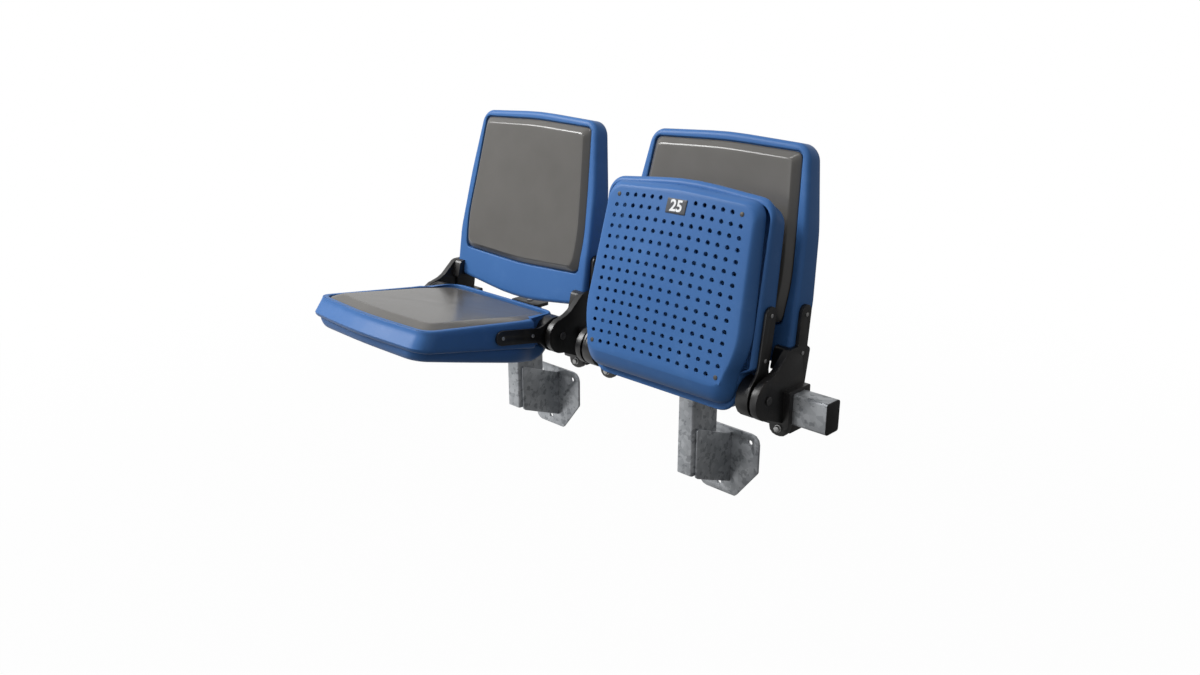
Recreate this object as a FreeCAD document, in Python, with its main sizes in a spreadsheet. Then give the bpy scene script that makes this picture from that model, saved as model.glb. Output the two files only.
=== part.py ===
import FreeCAD, Part
import math
import os
import Sketcher

# Two tip-up seats on a beam, held to the riser behind them by two short legs.
# Frame: X along the row, Y backwards with the riser face at Y = 0, Z up.
# The origin lies between the two wall plates, level with their upper holes.
# Lengths are millimetres and angles are degrees.

Vector = FreeCAD.Vector

SIZES = {
    # Row
    "seat_pitch": 525.0,
    "seat_shift": -7.8,
    "leg_shift": -18.5,
    "beam_left_end": -576.4,
    "beam_right_end": 560.8,
    # Beam
    "beam_high": 60.0,
    "beam_deep": 40.0,
    "beam_wall": 3.0,
    "beam_corner": 5.0,
    "beam_base": 130.6,
    "beam_rear": -90.2,
    "cap_flange": 3.0,
    "cap_plug": 15.0,
    # Legs, side plates and wall plates
    "leg_wide": 40.0,
    "leg_deep": 80.0,
    "leg_wall": 3.0,
    "leg_foot": -52.0,
    "leg_web": 6.0,
    "side_plate_thick": 5.0,
    "side_plate_high": 110.0,
    "side_plate_slope": 21.5,
    "side_plate_front": -121.0,
    "side_plate_front_top": 52.0,
    "wall_plate_thick": 6.0,
    "wall_plate_wide": 150.0,
    "wall_plate_top": 19.0,
    "wall_plate_base": -134.0,
    "wall_plate_corner": 20.0,
    "wall_plate_chamfer_wide": 54.0,
    "wall_plate_chamfer_high": 70.0,
    "wall_hole_radius": 5.5,
    "wall_hole_spread": 107.2,
    "wall_hole_low_x": -22.1,
    "wall_hole_low_z": -113.6,
    # Saddle on each leg
    "saddle_wide": 84.0,
    "saddle_deep": 46.0,
    "saddle_thick": 8.0,
    "saddle_screw_radius": 4.0,
    "saddle_screw_head": 7.0,
    # Hinge
    "hinge_back": -190.5,
    "hinge_up": 192.5,
    "tip_angle": 89.5,
    "hub_radius": 38.0,
    "hub_inner": 179.0,
    "arm_outer": 205.3,
    "arm_thick": 5.0,
    "strap_width": 31.0,
    "arm_tilt": 9.5,
    "arm_rivet_near": 68.0,
    "arm_rivet_far": 149.5,
    "arm_reach": 166.0,
    "pin_radius": 6.0,
    "pin_head_radius": 8.0,
    "pin_head_thick": 3.0,
    "bush_wall": 3.0,
    "bush_flange": 14.0,
    "running_gap": 0.05,
    "spring_wire": 3.0,
    "spring_turns": 4.0,
    "spring_mean_radius": 20.0,
    "rivet_shank": 2.5,
    "rivet_head": 4.0,
    "rivet_head_thick": 1.6,
    # Fixed bracket
    "bracket_inner": 210.9,
    "bracket_outer": 224.3,
    "shoulder_back": -130.0,
    "shoulder_up": 272.6,
    "back_strap_foot": -91.0,
    "back_strap_top": 347.0,
    "back_strap_width": 29.0,
    "back_strap_tilt": 5.5,
    "back_rivet_low": 257.3,
    "back_rivet_high": 328.8,
    "cup_inner": 190.0,
    "cup_floor": 231.0,
    "collar_inner": 178.5,
    "collar_outer": 236.9,
    "collar_wall": 11.8,
    "collar_rear_wall": 14.2,
    "collar_roof": 7.0,
    "lobe_inner": 196.0,
    "lobe_drop": 23.0,
    "clamp_screw_radius": 4.0,
    "clamp_head_radius": 7.5,
    "fit_gap": 0.1,
    # Seat pan, from the hinge: forward and up with the pan open
    "pan_half": 200.0,
    "pan_front_half": 195.0,
    "pan_rim_front": 329.0,
    "pan_split_front": 352.5,
    "pan_rear": -34.0,
    "pan_split_rear": -29.0,
    "pan_bow": 9.5,
    "pan_rear_bow": 4.0,
    "pan_corner": 36.0,
    "pan_wall": 4.0,
    "rim_up": 33.0,
    "rim_slope": 7.4,
    "split_up": -28.0,
    "split_slope": 11.0,
    "notch_half": 176.0,
    "notch_front": 43.0,
    "cover_half": 195.0,
    "cover_half_at": 92.0,
    "cover_front_half": 179.0,
    "cover_rear_half": 174.0,
    "cover_rear": -15.0,
    "cover_face_rear": 25.0,
    "cover_front": 343.0,
    "cover_up": -71.3,
    "cover_slope": 14.2,
    "cover_wall": 3.0,
    "cover_round": 14.0,
    "hole_rows": 15.0,
    "hole_pitch": 20.56,
    "hole_first": 331.2,
    "hole_half_front": 144.5,
    "hole_half_rear": 152.2,
    "hole_barrel": 5.0,
    "hole_bow": 6.0,
    "hole_across": 6.4,
    "plate_wide": 57.0,
    "plate_high": 33.0,
    "plate_thick": 1.5,
    "plate_front": 326.5,
    "cover_screw_radius": 2.0,
    "cover_screw_head": 4.6,
    "boss_radius": 6.0,
    "cover_screw_reach": 9.0,
    # Cushions
    "soft_gap": 0.3,
    "recess_deep": 6.0,
    "seat_pad_inset": 11.0,
    "seat_pad_bevel": 26.0,
    "seat_pad_rise": 10.0,
    "seat_pad_crown": 3.0,
    "back_pad_bevel": 20.0,
    "back_pad_rise": 7.0,
    "back_pad_crown": 3.0,
    # Backrest
    "back_lean": 10.8,
    "back_base": 240.0,
    "back_front": -119.7,
    "back_half": 216.0,
    "back_shoulder_half": 207.0,
    "back_top_half": 183.5,
    "back_high": 391.0,
    "back_dip": 26.0,
    "back_arch": 9.0,
    "back_corner": 34.0,
    "back_thick": 50.0,
    "back_thick_top": 35.0,
    "back_wing": 8.0,
    "back_wall": 4.0,
    "back_recess_half": 190.0,
    "back_recess_mid_half": 196.0,
    "back_recess_top_half": 172.0,
    "back_recess_base": 66.0,
    "back_recess_top": 378.0,
}

doc = FreeCAD.newDocument("stadium_seat")
sheet = doc.addObject("Spreadsheet::Sheet", "Sizes")
for row, (name, value) in enumerate(SIZES.items(), start=1):
    sheet.set("A%d" % row, name)
    sheet.set("B%d" % row, str(value))
    sheet.setAlias("B%d" % row, name)
doc.recompute()

pieces = []


def size(name):
    """A driving size, read from the sheet."""
    return float(sheet.get(name))


def ref(name):
    return "Sizes." + name


def bind(thing, **formulas):
    """Bind properties to formulas; a double underscore stands for a dot."""
    for key, formula in formulas.items():
        thing.setExpression(key.replace("__", "."), formula)


def keep(thing, name):
    """Hand the object in as a piece under its own name."""
    thing.Label = name
    pieces.append((name, thing))
    return thing


# Outlines

def outline(corners):
    """Closed outline of straight runs; a corner is (x, y, radius), and a round one is cut into chords."""
    points = [Vector(x, y, 0) for x, y, _ in corners]
    ring = []
    for index, (_, _, radius) in enumerate(corners):
        point = points[index]
        back = (points[index - 1] - point).normalize()
        ahead = (points[(index + 1) % len(points)] - point).normalize()
        if radius == 0:
            ring.append(point)
            continue
        half = back.getAngle(ahead) / 2
        centre = point + (back + ahead).normalize() * (radius / math.sin(half))
        start = point + back * (radius / math.tan(half)) - centre
        turn = math.pi - 2 * half
        if back.cross(ahead).z > 0:
            turn = -turn
        chords = 2 if radius > 100 else max(1, round(abs(turn) / math.radians(29)))
        for step in range(chords + 1):
            angle = turn * step / chords
            x = start.x * math.cos(angle) - start.y * math.sin(angle)
            y = start.x * math.sin(angle) + start.y * math.cos(angle)
            ring.append(centre + Vector(x, y, 0))
    return [Part.LineSegment(a, b) for a, b in zip(ring, ring[1:] + ring[:1])]


def rectangle(left, right, low, high, radius=0.0):
    return outline([(left, low, radius), (right, low, radius), (right, high, radius), (left, high, radius)])


def circle(x, y, radius):
    return [Part.Circle(Vector(x, y, 0), Vector(0, 0, 1), radius)]


def many_sided(x, y, radius, sides):
    """A regular polygon standing in for a circle that nothing turns in."""
    ring = []
    for step in range(sides):
        angle = math.tau * (step + 0.5) / sides
        ring.append(Vector(x + radius * math.cos(angle), y + radius * math.sin(angle), 0))
    return [Part.LineSegment(a, b) for a, b in zip(ring, ring[1:] + ring[:1])]


def shank_bore(x, y, radius):
    """A six-sided bore that just clears a shank of the radius."""
    return many_sided(x, y, radius / math.cos(math.pi / 6), 6)


# Bodies

def new_body(name):
    return doc.addObject("PartDesign::Body", name)


def sketch_on(body, role, name, shapes, offset="0"):
    """A sketch on one of the body's own planes, moved along its normal by a formula."""
    plane = [feature for feature in body.Origin.OriginFeatures if feature.Role == role][0]
    sketch = body.newObject("Sketcher::SketchObject", body.Name + "_" + name)
    sketch.AttachmentSupport = [(plane, "")]
    sketch.MapMode = "FlatFace"
    for shape in shapes:
        sketch.addGeometry(shape, False)
    bind(sketch, AttachmentOffset__Base__z=offset)
    return sketch


def pad(body, role, name, shapes, length, offset="0", reverse=False):
    feature = body.newObject("PartDesign::Pad", body.Name + "_" + name)
    feature.Profile = sketch_on(body, role, name + "_outline", shapes, offset)
    feature.Reversed = reverse
    bind(feature, Length=length)
    body.Tip = feature
    return feature


def pocket(body, role, name, shapes, length, offset="0", reverse=False):
    feature = body.newObject("PartDesign::Pocket", body.Name + "_" + name)
    feature.Profile = sketch_on(body, role, name + "_outline", shapes, offset)
    feature.Reversed = reverse
    bind(feature, Length=length)
    body.Tip = feature
    return feature


def side_pad(body, side, name, shapes, near, far):
    """Pad between two distances from the seat's middle plane, on one side of it."""
    offset = "%d * (%s)" % (side, near)
    return pad(body, "YZ_Plane", name, shapes, "%s - (%s)" % (far, near), offset, side < 0)


def side_pocket(body, side, name, shapes, near, far):
    offset = "%d * (%s)" % (side, far)
    return pocket(body, "YZ_Plane", name, shapes, "%s - (%s)" % (far, near), offset, side < 0)


# Loose profiles, lofts and booleans

def profile(name, shapes, base=Vector(0, 0, 0), axis=Vector(1, 0, 0), angle=0.0):
    sketch = doc.addObject("Sketcher::SketchObject", name)
    for shape in shapes:
        sketch.addGeometry(shape, False)
    sketch.Placement = FreeCAD.Placement(base, FreeCAD.Rotation(axis, angle))
    return sketch


def loft(name, sections):
    """A solid between sketches with as many corners each."""
    rings = []
    for section in sections:
        rings.append([section.Placement.multVec(edge.StartPoint) for edge in section.Geometry])
    thing = doc.addObject("Part::Feature", name)
    thing.Shape = solid_between(rings)
    return thing


def solid_between(rings):
    """A solid through rings of points; a twisted strip is folded into flat faces."""
    faces = [Part.Face(Part.makePolygon(ring + ring[:1])) for ring in (rings[0], rings[-1])]
    for low, high in zip(rings, rings[1:]):
        for index in range(len(low)):
            after = (index + 1) % len(low)
            faces += flat_faces(low[index], low[after], high[after], high[index])
    shell = Part.makeShell(faces)
    shell.sewShape()
    solid = Part.makeSolid(shell)
    if solid.Volume < 0:
        solid.reverse()
    return solid


def flat_faces(a, b, c, d):
    """One face where four corners lie flat, and otherwise two triangles that meet on the shorter diagonal."""
    across = (b - a).cross(c - a)
    if abs((d - a).dot(across.normalize())) < 0.00001:
        return [Part.Face(Part.makePolygon([a, b, c, d, a]))]
    if (c - a).Length < (d - b).Length:
        halves = ([a, b, c, a], [a, c, d, a])
    else:
        halves = ([a, b, d, a], [b, c, d, b])
    return [Part.Face(Part.makePolygon(half)) for half in halves]


def prism(name, sketch, direction, forward, backward=0.0):
    thing = doc.addObject("Part::Extrusion", name)
    thing.Base = sketch
    thing.DirMode = "Custom"
    thing.Dir = direction
    thing.LengthFwd = forward
    thing.LengthRev = backward
    thing.Solid = True
    return thing


def cut(name, base, tool):
    thing = doc.addObject("Part::Cut", name)
    thing.Base = base
    thing.Tool = tool
    return thing


def common(name, first, second):
    thing = doc.addObject("Part::Common", name)
    thing.Base = first
    thing.Tool = second
    return thing


def fuse(name, things):
    thing = doc.addObject("Part::MultiFuse", name)
    thing.Shapes = things
    return thing


def group(name, things):
    thing = doc.addObject("Part::Compound", name)
    thing.Links = things
    return thing


def cylinder(name, radius, length, base, direction):
    thing = doc.addObject("Part::Cylinder", name)
    bind(thing, Radius=radius, Height=length)
    thing.Placement = FreeCAD.Placement(base, FreeCAD.Rotation(Vector(0, 0, 1), direction))
    return thing


def rod(name, radius, length, base, direction, sides=6):
    """A many-sided rod, for shanks and heads that nothing turns on."""
    thing = doc.addObject("Part::Prism", name)
    thing.Polygon = sides
    bind(thing, Circumradius=radius, Height=length)
    thing.Placement = FreeCAD.Placement(base, FreeCAD.Rotation(Vector(0, 0, 1), direction))
    return thing


def headed(name, shank_radius, shank_length, head_radius, head_thick, base, direction):
    """A screw or rivet: the shank runs along the direction from the base, the head lies behind it."""
    shank = rod(name + "_shank", shank_radius, shank_length, base, direction)
    head_base = base - Vector(direction).normalize() * size_of(head_thick)
    head = rod(name + "_head", head_radius, head_thick, head_base, direction, 8)
    return fuse(name, [shank, head])


def size_of(formula):
    """A formula holding one size name, worked out here for a place."""
    return size(formula.split(".")[1])


def fixed_in_seats(thing, name):
    """Hand in a fixed piece twice, once in each seat."""
    for word, side in (("left", -1), ("right", 1)):
        placed = group("%s_seat_%s_placed" % (word, name), [thing])
        bind(placed, Placement__Base__x="Sizes.seat_shift + %d * Sizes.seat_pitch / 2" % side)
        keep(placed, "%s_seat_%s" % (word, name))


def moving_in_seats(thing, name):
    """Hand in a piece that tips, drawn open about its hinge: left as drawn, right tipped up."""
    fixed_in_seats(thing, name)
    for word, placed in (("left", pieces[-2][1]), ("right", pieces[-1][1])):
        if word == "right":
            placed.Placement.Rotation = FreeCAD.Rotation(Vector(-1, 0, 0), size("tip_angle"))
            bind(placed, Placement__Rotation__Angle=ref("tip_angle"))
        bind(placed, Placement__Base__y=ref("hinge_back"), Placement__Base__z=ref("hinge_up"))


# Beam, legs and plates

beam_top = size("beam_base") + size("beam_high")
beam_front = size("beam_rear") - size("beam_deep")
beam_mid_back = size("beam_rear") - size("beam_deep") / 2
beam_mid_up = size("beam_base") + size("beam_high") / 2


def tube_outline(wide, high, wall, corner):
    inside = max(corner - wall, 0.5)
    return rectangle(-wide / 2, wide / 2, -high / 2, high / 2, corner) + rectangle(
        -wide / 2 + wall, wide / 2 - wall, -high / 2 + wall, high / 2 - wall, inside
    )


def make_beam():
    body = new_body("beam_tube")
    shapes = tube_outline(size("beam_deep"), size("beam_high"), size("beam_wall"), size("beam_corner"))
    pad(body, "YZ_Plane", "run", shapes, "Sizes.beam_right_end - Sizes.beam_left_end")
    middle = "Sizes.beam_rear - Sizes.beam_deep / 2"
    bind(body, Placement__Base__x=ref("beam_left_end"), Placement__Base__y=middle)
    bind(body, Placement__Base__z="Sizes.beam_base + Sizes.beam_high / 2")
    keep(body, "beam")


def make_beam_cap(name, end, turned):
    body = new_body(name + "_plug")
    deep = size("beam_deep")
    high = size("beam_high")
    inside = size("beam_wall") + size("fit_gap")
    flange = rectangle(-deep / 2, deep / 2, -high / 2, high / 2, size("beam_corner"))
    plug = rectangle(-deep / 2 + inside, deep / 2 - inside, -high / 2 + inside, high / 2 - inside, 2.0)
    pad(body, "YZ_Plane", "flange", flange, ref("cap_flange"))
    pad(body, "YZ_Plane", "skirt", plug, ref("cap_plug"), reverse=True)
    if turned:
        body.Placement.Rotation = FreeCAD.Rotation(Vector(0, 0, 1), 180)
    bind(body, Placement__Base__x=ref(end), Placement__Base__y="Sizes.beam_rear - Sizes.beam_deep / 2")
    bind(body, Placement__Base__z="Sizes.beam_base + Sizes.beam_high / 2")
    keep(body, name)


def make_leg(name, side):
    wide = size("leg_wide")
    front = beam_front
    rear = front + size("leg_deep")
    wall = size("leg_wall")
    body = new_body(name + "_tube")
    section = rectangle(-wide / 2, wide / 2, front, rear, 5.0)
    section += rectangle(-wide / 2 + wall, wide / 2 - wall, front + wall, rear - wall, 2.0)
    length = "Sizes.beam_base + Sizes.beam_high - Sizes.leg_foot"
    pad(body, "XY_Plane", "post", section, length, ref("leg_foot"))
    web = rectangle(-wide / 2 + wall - 0.5, wide / 2 - wall + 0.5, size("beam_rear"), rear - wall + 0.5)
    pad(body, "XY_Plane", "web", web, ref("leg_web"), "Sizes.beam_base + Sizes.beam_high - Sizes.leg_web")
    notch = rectangle(front - 1, size("beam_rear"), size("beam_base"), beam_top + 1)
    pocket(body, "YZ_Plane", "notch", notch, ref("leg_wide") + " + 2", ref("leg_wide") + " / 2 + 1")
    hole = shank_bore(0, saddle_mid_back(), size("saddle_screw_radius"))
    pocket(body, "XY_Plane", "screw_hole", hole, ref("leg_web"), "Sizes.beam_base + Sizes.beam_high")
    bind(body, Placement__Base__x="Sizes.leg_shift + %d * Sizes.seat_pitch / 2" % side)
    keep(body, name)


def saddle_mid_back():
    """The saddle's screw stands in the middle of the leg's upright rear half."""
    rear = beam_front + size("leg_deep")
    return (size("beam_rear") + rear - size("leg_wall")) / 2


def make_saddle(name, side):
    body = new_body(name + "_block")
    half = size("saddle_wide") / 2
    rear = beam_front + size("leg_deep") + 2
    block = rectangle(-half, half, rear - size("saddle_deep"), rear, 6.0)
    pad(body, "XY_Plane", "block", block, ref("saddle_thick"), "Sizes.beam_base + Sizes.beam_high")
    hole = shank_bore(0, saddle_mid_back(), size("saddle_screw_radius"))
    top = "Sizes.beam_base + Sizes.beam_high + Sizes.saddle_thick"
    pocket(body, "XY_Plane", "screw_hole", hole, ref("saddle_thick"), top)
    bind(body, Placement__Base__x="Sizes.leg_shift + %d * Sizes.seat_pitch / 2" % side)
    keep(body, name)


def make_saddle_screws():
    screws = []
    for side, word in ((-1, "left"), (1, "right")):
        x = size("leg_shift") + side * size("seat_pitch") / 2
        base = Vector(x, saddle_mid_back(), beam_top + size("saddle_thick"))
        screws.append(headed(
            word + "_saddle_screw", ref("saddle_screw_radius"), "Sizes.saddle_thick + Sizes.leg_web",
            ref("saddle_screw_head"), ref("rivet_head_thick"), base, Vector(0, 0, -1),
        ))
    keep(group("saddle_screw_set", screws), "saddle_screws")


def make_side_plate(name, side):
    """A sloping plate, welded to the leg's right face and to the wall plate."""
    fall = math.tan(math.radians(size("side_plate_slope")))
    front = size("side_plate_front")
    rear = -size("wall_plate_thick")
    top = size("side_plate_front_top")
    low = top - size("side_plate_high")
    drop = (rear - front) * fall
    body = new_body(name + "_blank")
    shape = outline([(front, low, 10), (rear, low - drop, 0), (rear, top - drop, 0), (front, top, 4)])
    pad(body, "YZ_Plane", "plate", shape, ref("side_plate_thick"))
    bind(body, Placement__Base__x="Sizes.leg_shift + %d * Sizes.seat_pitch / 2 + Sizes.leg_wide / 2" % side)
    keep(body, name)


def make_wall_plate(name, side):
    half = size("wall_plate_wide") / 2
    top = size("wall_plate_top")
    low = size("wall_plate_base")
    radius = size("wall_plate_corner")
    shape = outline([
        (-half, low, radius),
        (half - size("wall_plate_chamfer_wide"), low, 6),
        (half, low + size("wall_plate_chamfer_high"), 6),
        (half, top, radius),
        (-half, top, radius),
    ])
    for x in (-size("wall_hole_spread") / 2, size("wall_hole_spread") / 2):
        shape += circle(x, 0, size("wall_hole_radius"))
    shape += circle(size("wall_hole_low_x"), size("wall_hole_low_z"), size("wall_hole_radius"))
    body = new_body(name + "_blank")
    pad(body, "XZ_Plane", "plate", shape, ref("wall_plate_thick"))
    bind(body, Placement__Base__x="%d * Sizes.seat_pitch / 2" % side)
    keep(body, name)


# Backrest, drawn in a leaning frame: x across, y forward of the front plane is negative, z up the lean

def back_frame(thing):
    base = Vector(0, size("back_front"), size("back_base"))
    thing.Placement = FreeCAD.Placement(base, FreeCAD.Rotation(Vector(1, 0, 0), -size("back_lean")))
    return thing


def back_section(name, up, wing, near, far):
    """A level cut of the back: a hollow front of short chords, a straight rear line."""
    half = size("back_half") + 12
    reach = wing * (half / size("back_half")) ** 2
    corners = []
    for share in (-1, -0.6, 0, 0.6, 1):
        corners.append((share * half, near - reach * share ** 2, 0))
    return profile(name, outline(corners + [(half, far, 0), (-half, far, 0)]), Vector(0, 0, up))


def back_slab(name, front_shift, rear_shift):
    """The space between the back's front and rear faces, each moved by a shift."""
    high = size("back_high")
    stations = (
        (-0.12 * high, 0.4, 1.0),
        (0.26 * high, 1.0, 0.96),
        (0.6 * high, 0.35, 0.87),
        (1.06 * high, 0.0, size("back_thick_top") / size("back_thick")),
    )
    sections = []
    for index, (up, wing, thick) in enumerate(stations):
        far = size("back_thick") * thick + rear_shift
        sections.append(back_section("%s_%d" % (name, index), up, wing * size("back_wing"), front_shift, far))
    return loft(name, sections)


def back_outline(inset):
    """The back seen square on."""
    half = size("back_half") - inset
    shoulder = size("back_shoulder_half") - inset
    top_half = size("back_top_half") - inset
    high = size("back_high")
    round_top = size("back_corner") - inset
    return outline([
        (0, -size("back_dip") + inset, 700),
        (half, 2 + inset, max(10 - inset, 2)),
        (half, 0.3 * high, 60),
        (shoulder, 0.62 * high, 200),
        (top_half, high - inset, round_top),
        (0, high + size("back_arch") - inset, 900),
        (-top_half, high - inset, round_top),
        (-shoulder, 0.62 * high, 200),
        (-half, 0.3 * high, 60),
        (-half, 2 + inset, max(10 - inset, 2)),
    ])


def recess_outline(inset):
    """The recess for the back cushion, seen square on."""
    low = size("back_recess_base") + inset
    high = size("back_recess_top") - inset
    half = size("back_recess_half") - inset
    middle = size("back_recess_mid_half") - inset
    top_half = size("back_recess_top_half") - inset
    return outline([
        (0, low - 0.05 * half, 700),
        (half, low, 22),
        (middle, low + 0.25 * (high - low), 200),
        (top_half, high, 22),
        (0, high + 0.03 * half, 900),
        (-top_half, high, 22),
        (-middle, low + 0.25 * (high - low), 200),
        (-half, low, 22),
    ])


def upright(name, shapes, back):
    """A sketch in the plane of the lean, set back by a distance."""
    return profile(name, shapes, Vector(0, back, 0), Vector(1, 0, 0), 90)


def back_solid(name, inset, front_shift, rear_shift):
    slab = back_slab(name + "_slab", front_shift, rear_shift)
    outer = upright(name + "_outline", back_outline(inset), 0)
    column = prism(name + "_column", outer, Vector(0, 1, 0), 90, 60)
    return common(name, slab, column)


def make_backrest():
    solid = back_solid("back_outer", 0, 0, 0)
    wall = size("back_wall")
    deep = size("recess_deep")
    hollow = back_solid("back_hollow", wall, deep + wall, 30)
    seat = upright("back_recess_outline", recess_outline(0), deep)
    recess = prism("back_recess", seat, Vector(0, -1, 0), 60)
    body = cut("back_open", cut("back_tray", solid, hollow), recess)
    holes = back_rivet_bores()
    shell = cut("back_shell", back_turn("back_leaning", body), holes)
    fixed_in_seats(shell, "backrest_shell")
    blank = back_solid("back_cover_blank", wall + size("soft_gap"), size("back_thick_top") - 6, 0)
    rim = back_solid("back_cover_inner", wall + size("soft_gap") + 2.5, -40, -2.5)
    cover = cut("back_cover", blank, rim)
    fixed_in_seats(back_turn("back_cover_leaning", cover), "backrest_rear_cover")
    fixed_in_seats(back_turn("back_pad_leaning", back_pad()), "backrest_pad")


def back_turn(name, thing):
    """Stand a leaning-frame solid in the seat's frame, as an object with a place of its own."""
    back_frame(thing)
    return group(name, [thing])


def back_pad():
    gap = size("soft_gap")
    deep = size("recess_deep")
    bevel = size("back_pad_bevel")
    rise = size("back_pad_rise")
    sections = []
    for index, (inset, forward) in enumerate((
        (gap + 2, -deep + gap), (gap, -deep / 2), (gap + 3, 1), (gap + bevel, rise),
        (gap + 3 * bevel, rise + size("back_pad_crown")),
    )):
        sections.append(upright("back_pad_%d" % index, recess_outline(inset), -forward))
    return loft("back_pad", sections)


def strap_back(up):
    """Where the fixed bracket's strap has its middle, at a height."""
    lean = math.tan(math.radians(size("back_strap_tilt")))
    return size("back_strap_foot") + (up - size("back_rivet_low")) * lean


def back_rivet_places(side, inboard):
    heights = (size("back_rivet_low"), size("back_rivet_high"))
    return [Vector(side * inboard, strap_back(up), up) for up in heights]


def back_rivet_bores():
    bores = []
    for side in (-1, 1):
        for index, place in enumerate(back_rivet_places(side, size("bracket_outer") + 1)):
            name = "back_bore_%d_%d" % (side + 1, index)
            bores.append(rod(name, "Sizes.rivet_shank / cos(30)", "25", place, Vector(-side, 0, 0)))
    return group("back_bores", bores)


# Fixed brackets with their clamps and hinge pins

def bracket_profile():
    """The bracket's plate in the (Y, Z) plane, without its round hinge boss."""
    back = size("hinge_back")
    up = size("hinge_up")
    boss = size("hub_radius")
    ledge = size("shoulder_up")
    lean = math.tan(math.radians(size("back_strap_tilt")))
    half = size("back_strap_width") / 2
    top = size("back_strap_top")
    ledge_mid = strap_back(ledge)
    return outline([
        (back - 4, up + boss - 0.3, 0),
        (back + 20, up + boss + 6.5, 34),
        (size("shoulder_back"), ledge, 12),
        (ledge_mid - half, ledge, 4),
        (strap_back(top) - half, top + half * lean, half - 0.6),
        (strap_back(top) + half, top - half * lean, half - 0.6),
        (strap_back(ledge - 5) + half, ledge - 5, 3),
        (strap_back(ledge - 11) + half + 11, ledge - 11, 6),
        (size("beam_rear") + size("collar_rear_wall"), beam_top + size("collar_roof"), 0),
        (size("beam_rear") + size("collar_rear_wall"), size("beam_base") + 4, 4),
        (beam_front - size("collar_wall"), size("beam_base") + 4, 8),
        (back + 1, up - boss + 0.3, 0),
    ])


def make_bracket(name, side, room):
    gap = size("fit_gap")
    back = size("hinge_back")
    up = size("hinge_up")
    front = beam_front - size("collar_wall")
    rear = size("beam_rear") + size("collar_rear_wall")
    roof = beam_top + size("collar_roof")
    body = new_body(name + "_casting")
    side_pad(body, side, "plate", bracket_profile(), ref("bracket_inner"), ref("bracket_outer"))
    inner = ref("bracket_inner")
    outer = ref("bracket_outer")
    side_pad(body, side, "boss", many_sided(back, up, size("hub_radius"), 18), inner, outer)
    collar = rectangle(front, rear, size("beam_base") - 6, roof, 4)
    side_pad(body, side, "collar", collar, ref("collar_inner"), ref("collar_outer"))
    floor = size("cup_floor")
    shoulder = size("shoulder_back")
    ledge = size("shoulder_up")
    behind = strap_back(ledge)
    foremost = (shoulder - 12, floor, 4)
    cup = outline([foremost, (behind, floor, 0), (behind, ledge, 0), (shoulder - 1, ledge, 10)])
    side_pad(body, side, "cup", cup, ref("cup_inner"), ref("bracket_inner"))
    neck = rectangle(shoulder - 2, strap_back(ledge), roof - 8, floor + 4)
    side_pad(body, side, "neck", neck, "Sizes.bracket_inner - 6", ref("bracket_inner"))
    for word_two, forward in (("front", beam_front), ("rear", rear)):
        thick = "Sizes.collar_wall" if word_two == "front" else "Sizes.collar_rear_wall"
        pad(body, "XZ_Plane", word_two + "_lobe", lobe_shape(side), thick, "%f" % -forward)
    channel = rectangle(beam_front - gap, size("beam_rear") + gap, size("beam_base") - 30, beam_top + gap)
    side_pocket(body, side, "channel", channel, ref("collar_inner") + " - 1", ref("collar_outer") + " + 1")
    bore = shank_bore(side * lobe_mid(), clamp_up(), size("clamp_screw_radius"))
    pocket(body, "XZ_Plane", "clamp_bore", bore, "%f" % (rear - front + 2), "%f" % (-front + 1))
    side_pocket(body, side, "pin_bore", circle(back, up, size("pin_radius")), inner, outer)
    for index, key in enumerate(("back_rivet_low", "back_rivet_high")):
        hole = shank_bore(strap_back(size(key)), size(key), size("rivet_shank"))
        side_pocket(body, side, "rivet_bore_%d" % index, hole, ref("bracket_inner"), ref("bracket_outer"))
    fixed_in_seats(cut(name + "_bracket_cut", body, room), name + "_bracket")


def lobe_mid():
    return (size("lobe_inner") + size("collar_outer") - 1) / 2


def clamp_up():
    return size("beam_base") - size("clamp_screw_radius") - 4.5


def lobe_shape(side):
    """A rounded tongue below the collar, seen along the beam's depth."""
    half = (size("collar_outer") - 1 - size("lobe_inner")) / 2
    middle = side * lobe_mid()
    low = size("beam_base") - size("lobe_drop")
    return outline([
        (middle - half, low, half * 0.8), (middle + half, low, half * 0.8),
        (middle + half, size("beam_base") + 6, 0), (middle - half, size("beam_base") + 6, 0),
    ])


def make_clamp_jaw(name, side):
    gap = size("fit_gap")
    body = new_body(name + "_jaw")
    low = size("beam_base") - size("lobe_drop") + 5
    jaw = rectangle(beam_front, size("beam_rear"), low, size("beam_base") - gap, 2)
    side_pad(body, side, "block", jaw, ref("lobe_inner") + " + 2", ref("collar_outer") + " - 3")
    bore = shank_bore(side * lobe_mid(), clamp_up(), size("clamp_screw_radius"))
    pocket(body, "XZ_Plane", "clamp_bore", bore, "Sizes.beam_deep + 2", "%f" % (-beam_front + 1))
    fixed_in_seats(body, name + "_clamp_jaw")


def make_clamp_screws():
    screws = []
    front = beam_front - size("collar_wall")
    rear = size("beam_rear") + size("collar_rear_wall")
    for side in (-1, 1):
        name = "clamp_screw_%d" % (side + 1)
        base = Vector(side * lobe_mid(), front, clamp_up())
        length = "%f" % (rear - front + 8)
        washer = rod(name + "_washer", ref("clamp_head_radius"), "1.6", base, Vector(0, -1, 0), 10)
        head = rod(name + "_head", ref("clamp_head_radius") + " * 0.8", "7", base, Vector(0, -1, 0))
        shank = rod(name + "_shank", ref("clamp_screw_radius"), length, base, Vector(0, 1, 0))
        behind = Vector(base.x, rear, base.z)
        nut = rod(name + "_nut", ref("clamp_head_radius") + " * 0.9", "6.5", behind, Vector(0, 1, 0))
        screws.append(fuse(name, [washer, head, shank, nut]))
    fixed_in_seats(group("clamp_screw_set", screws), "clamp_screws")


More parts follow.
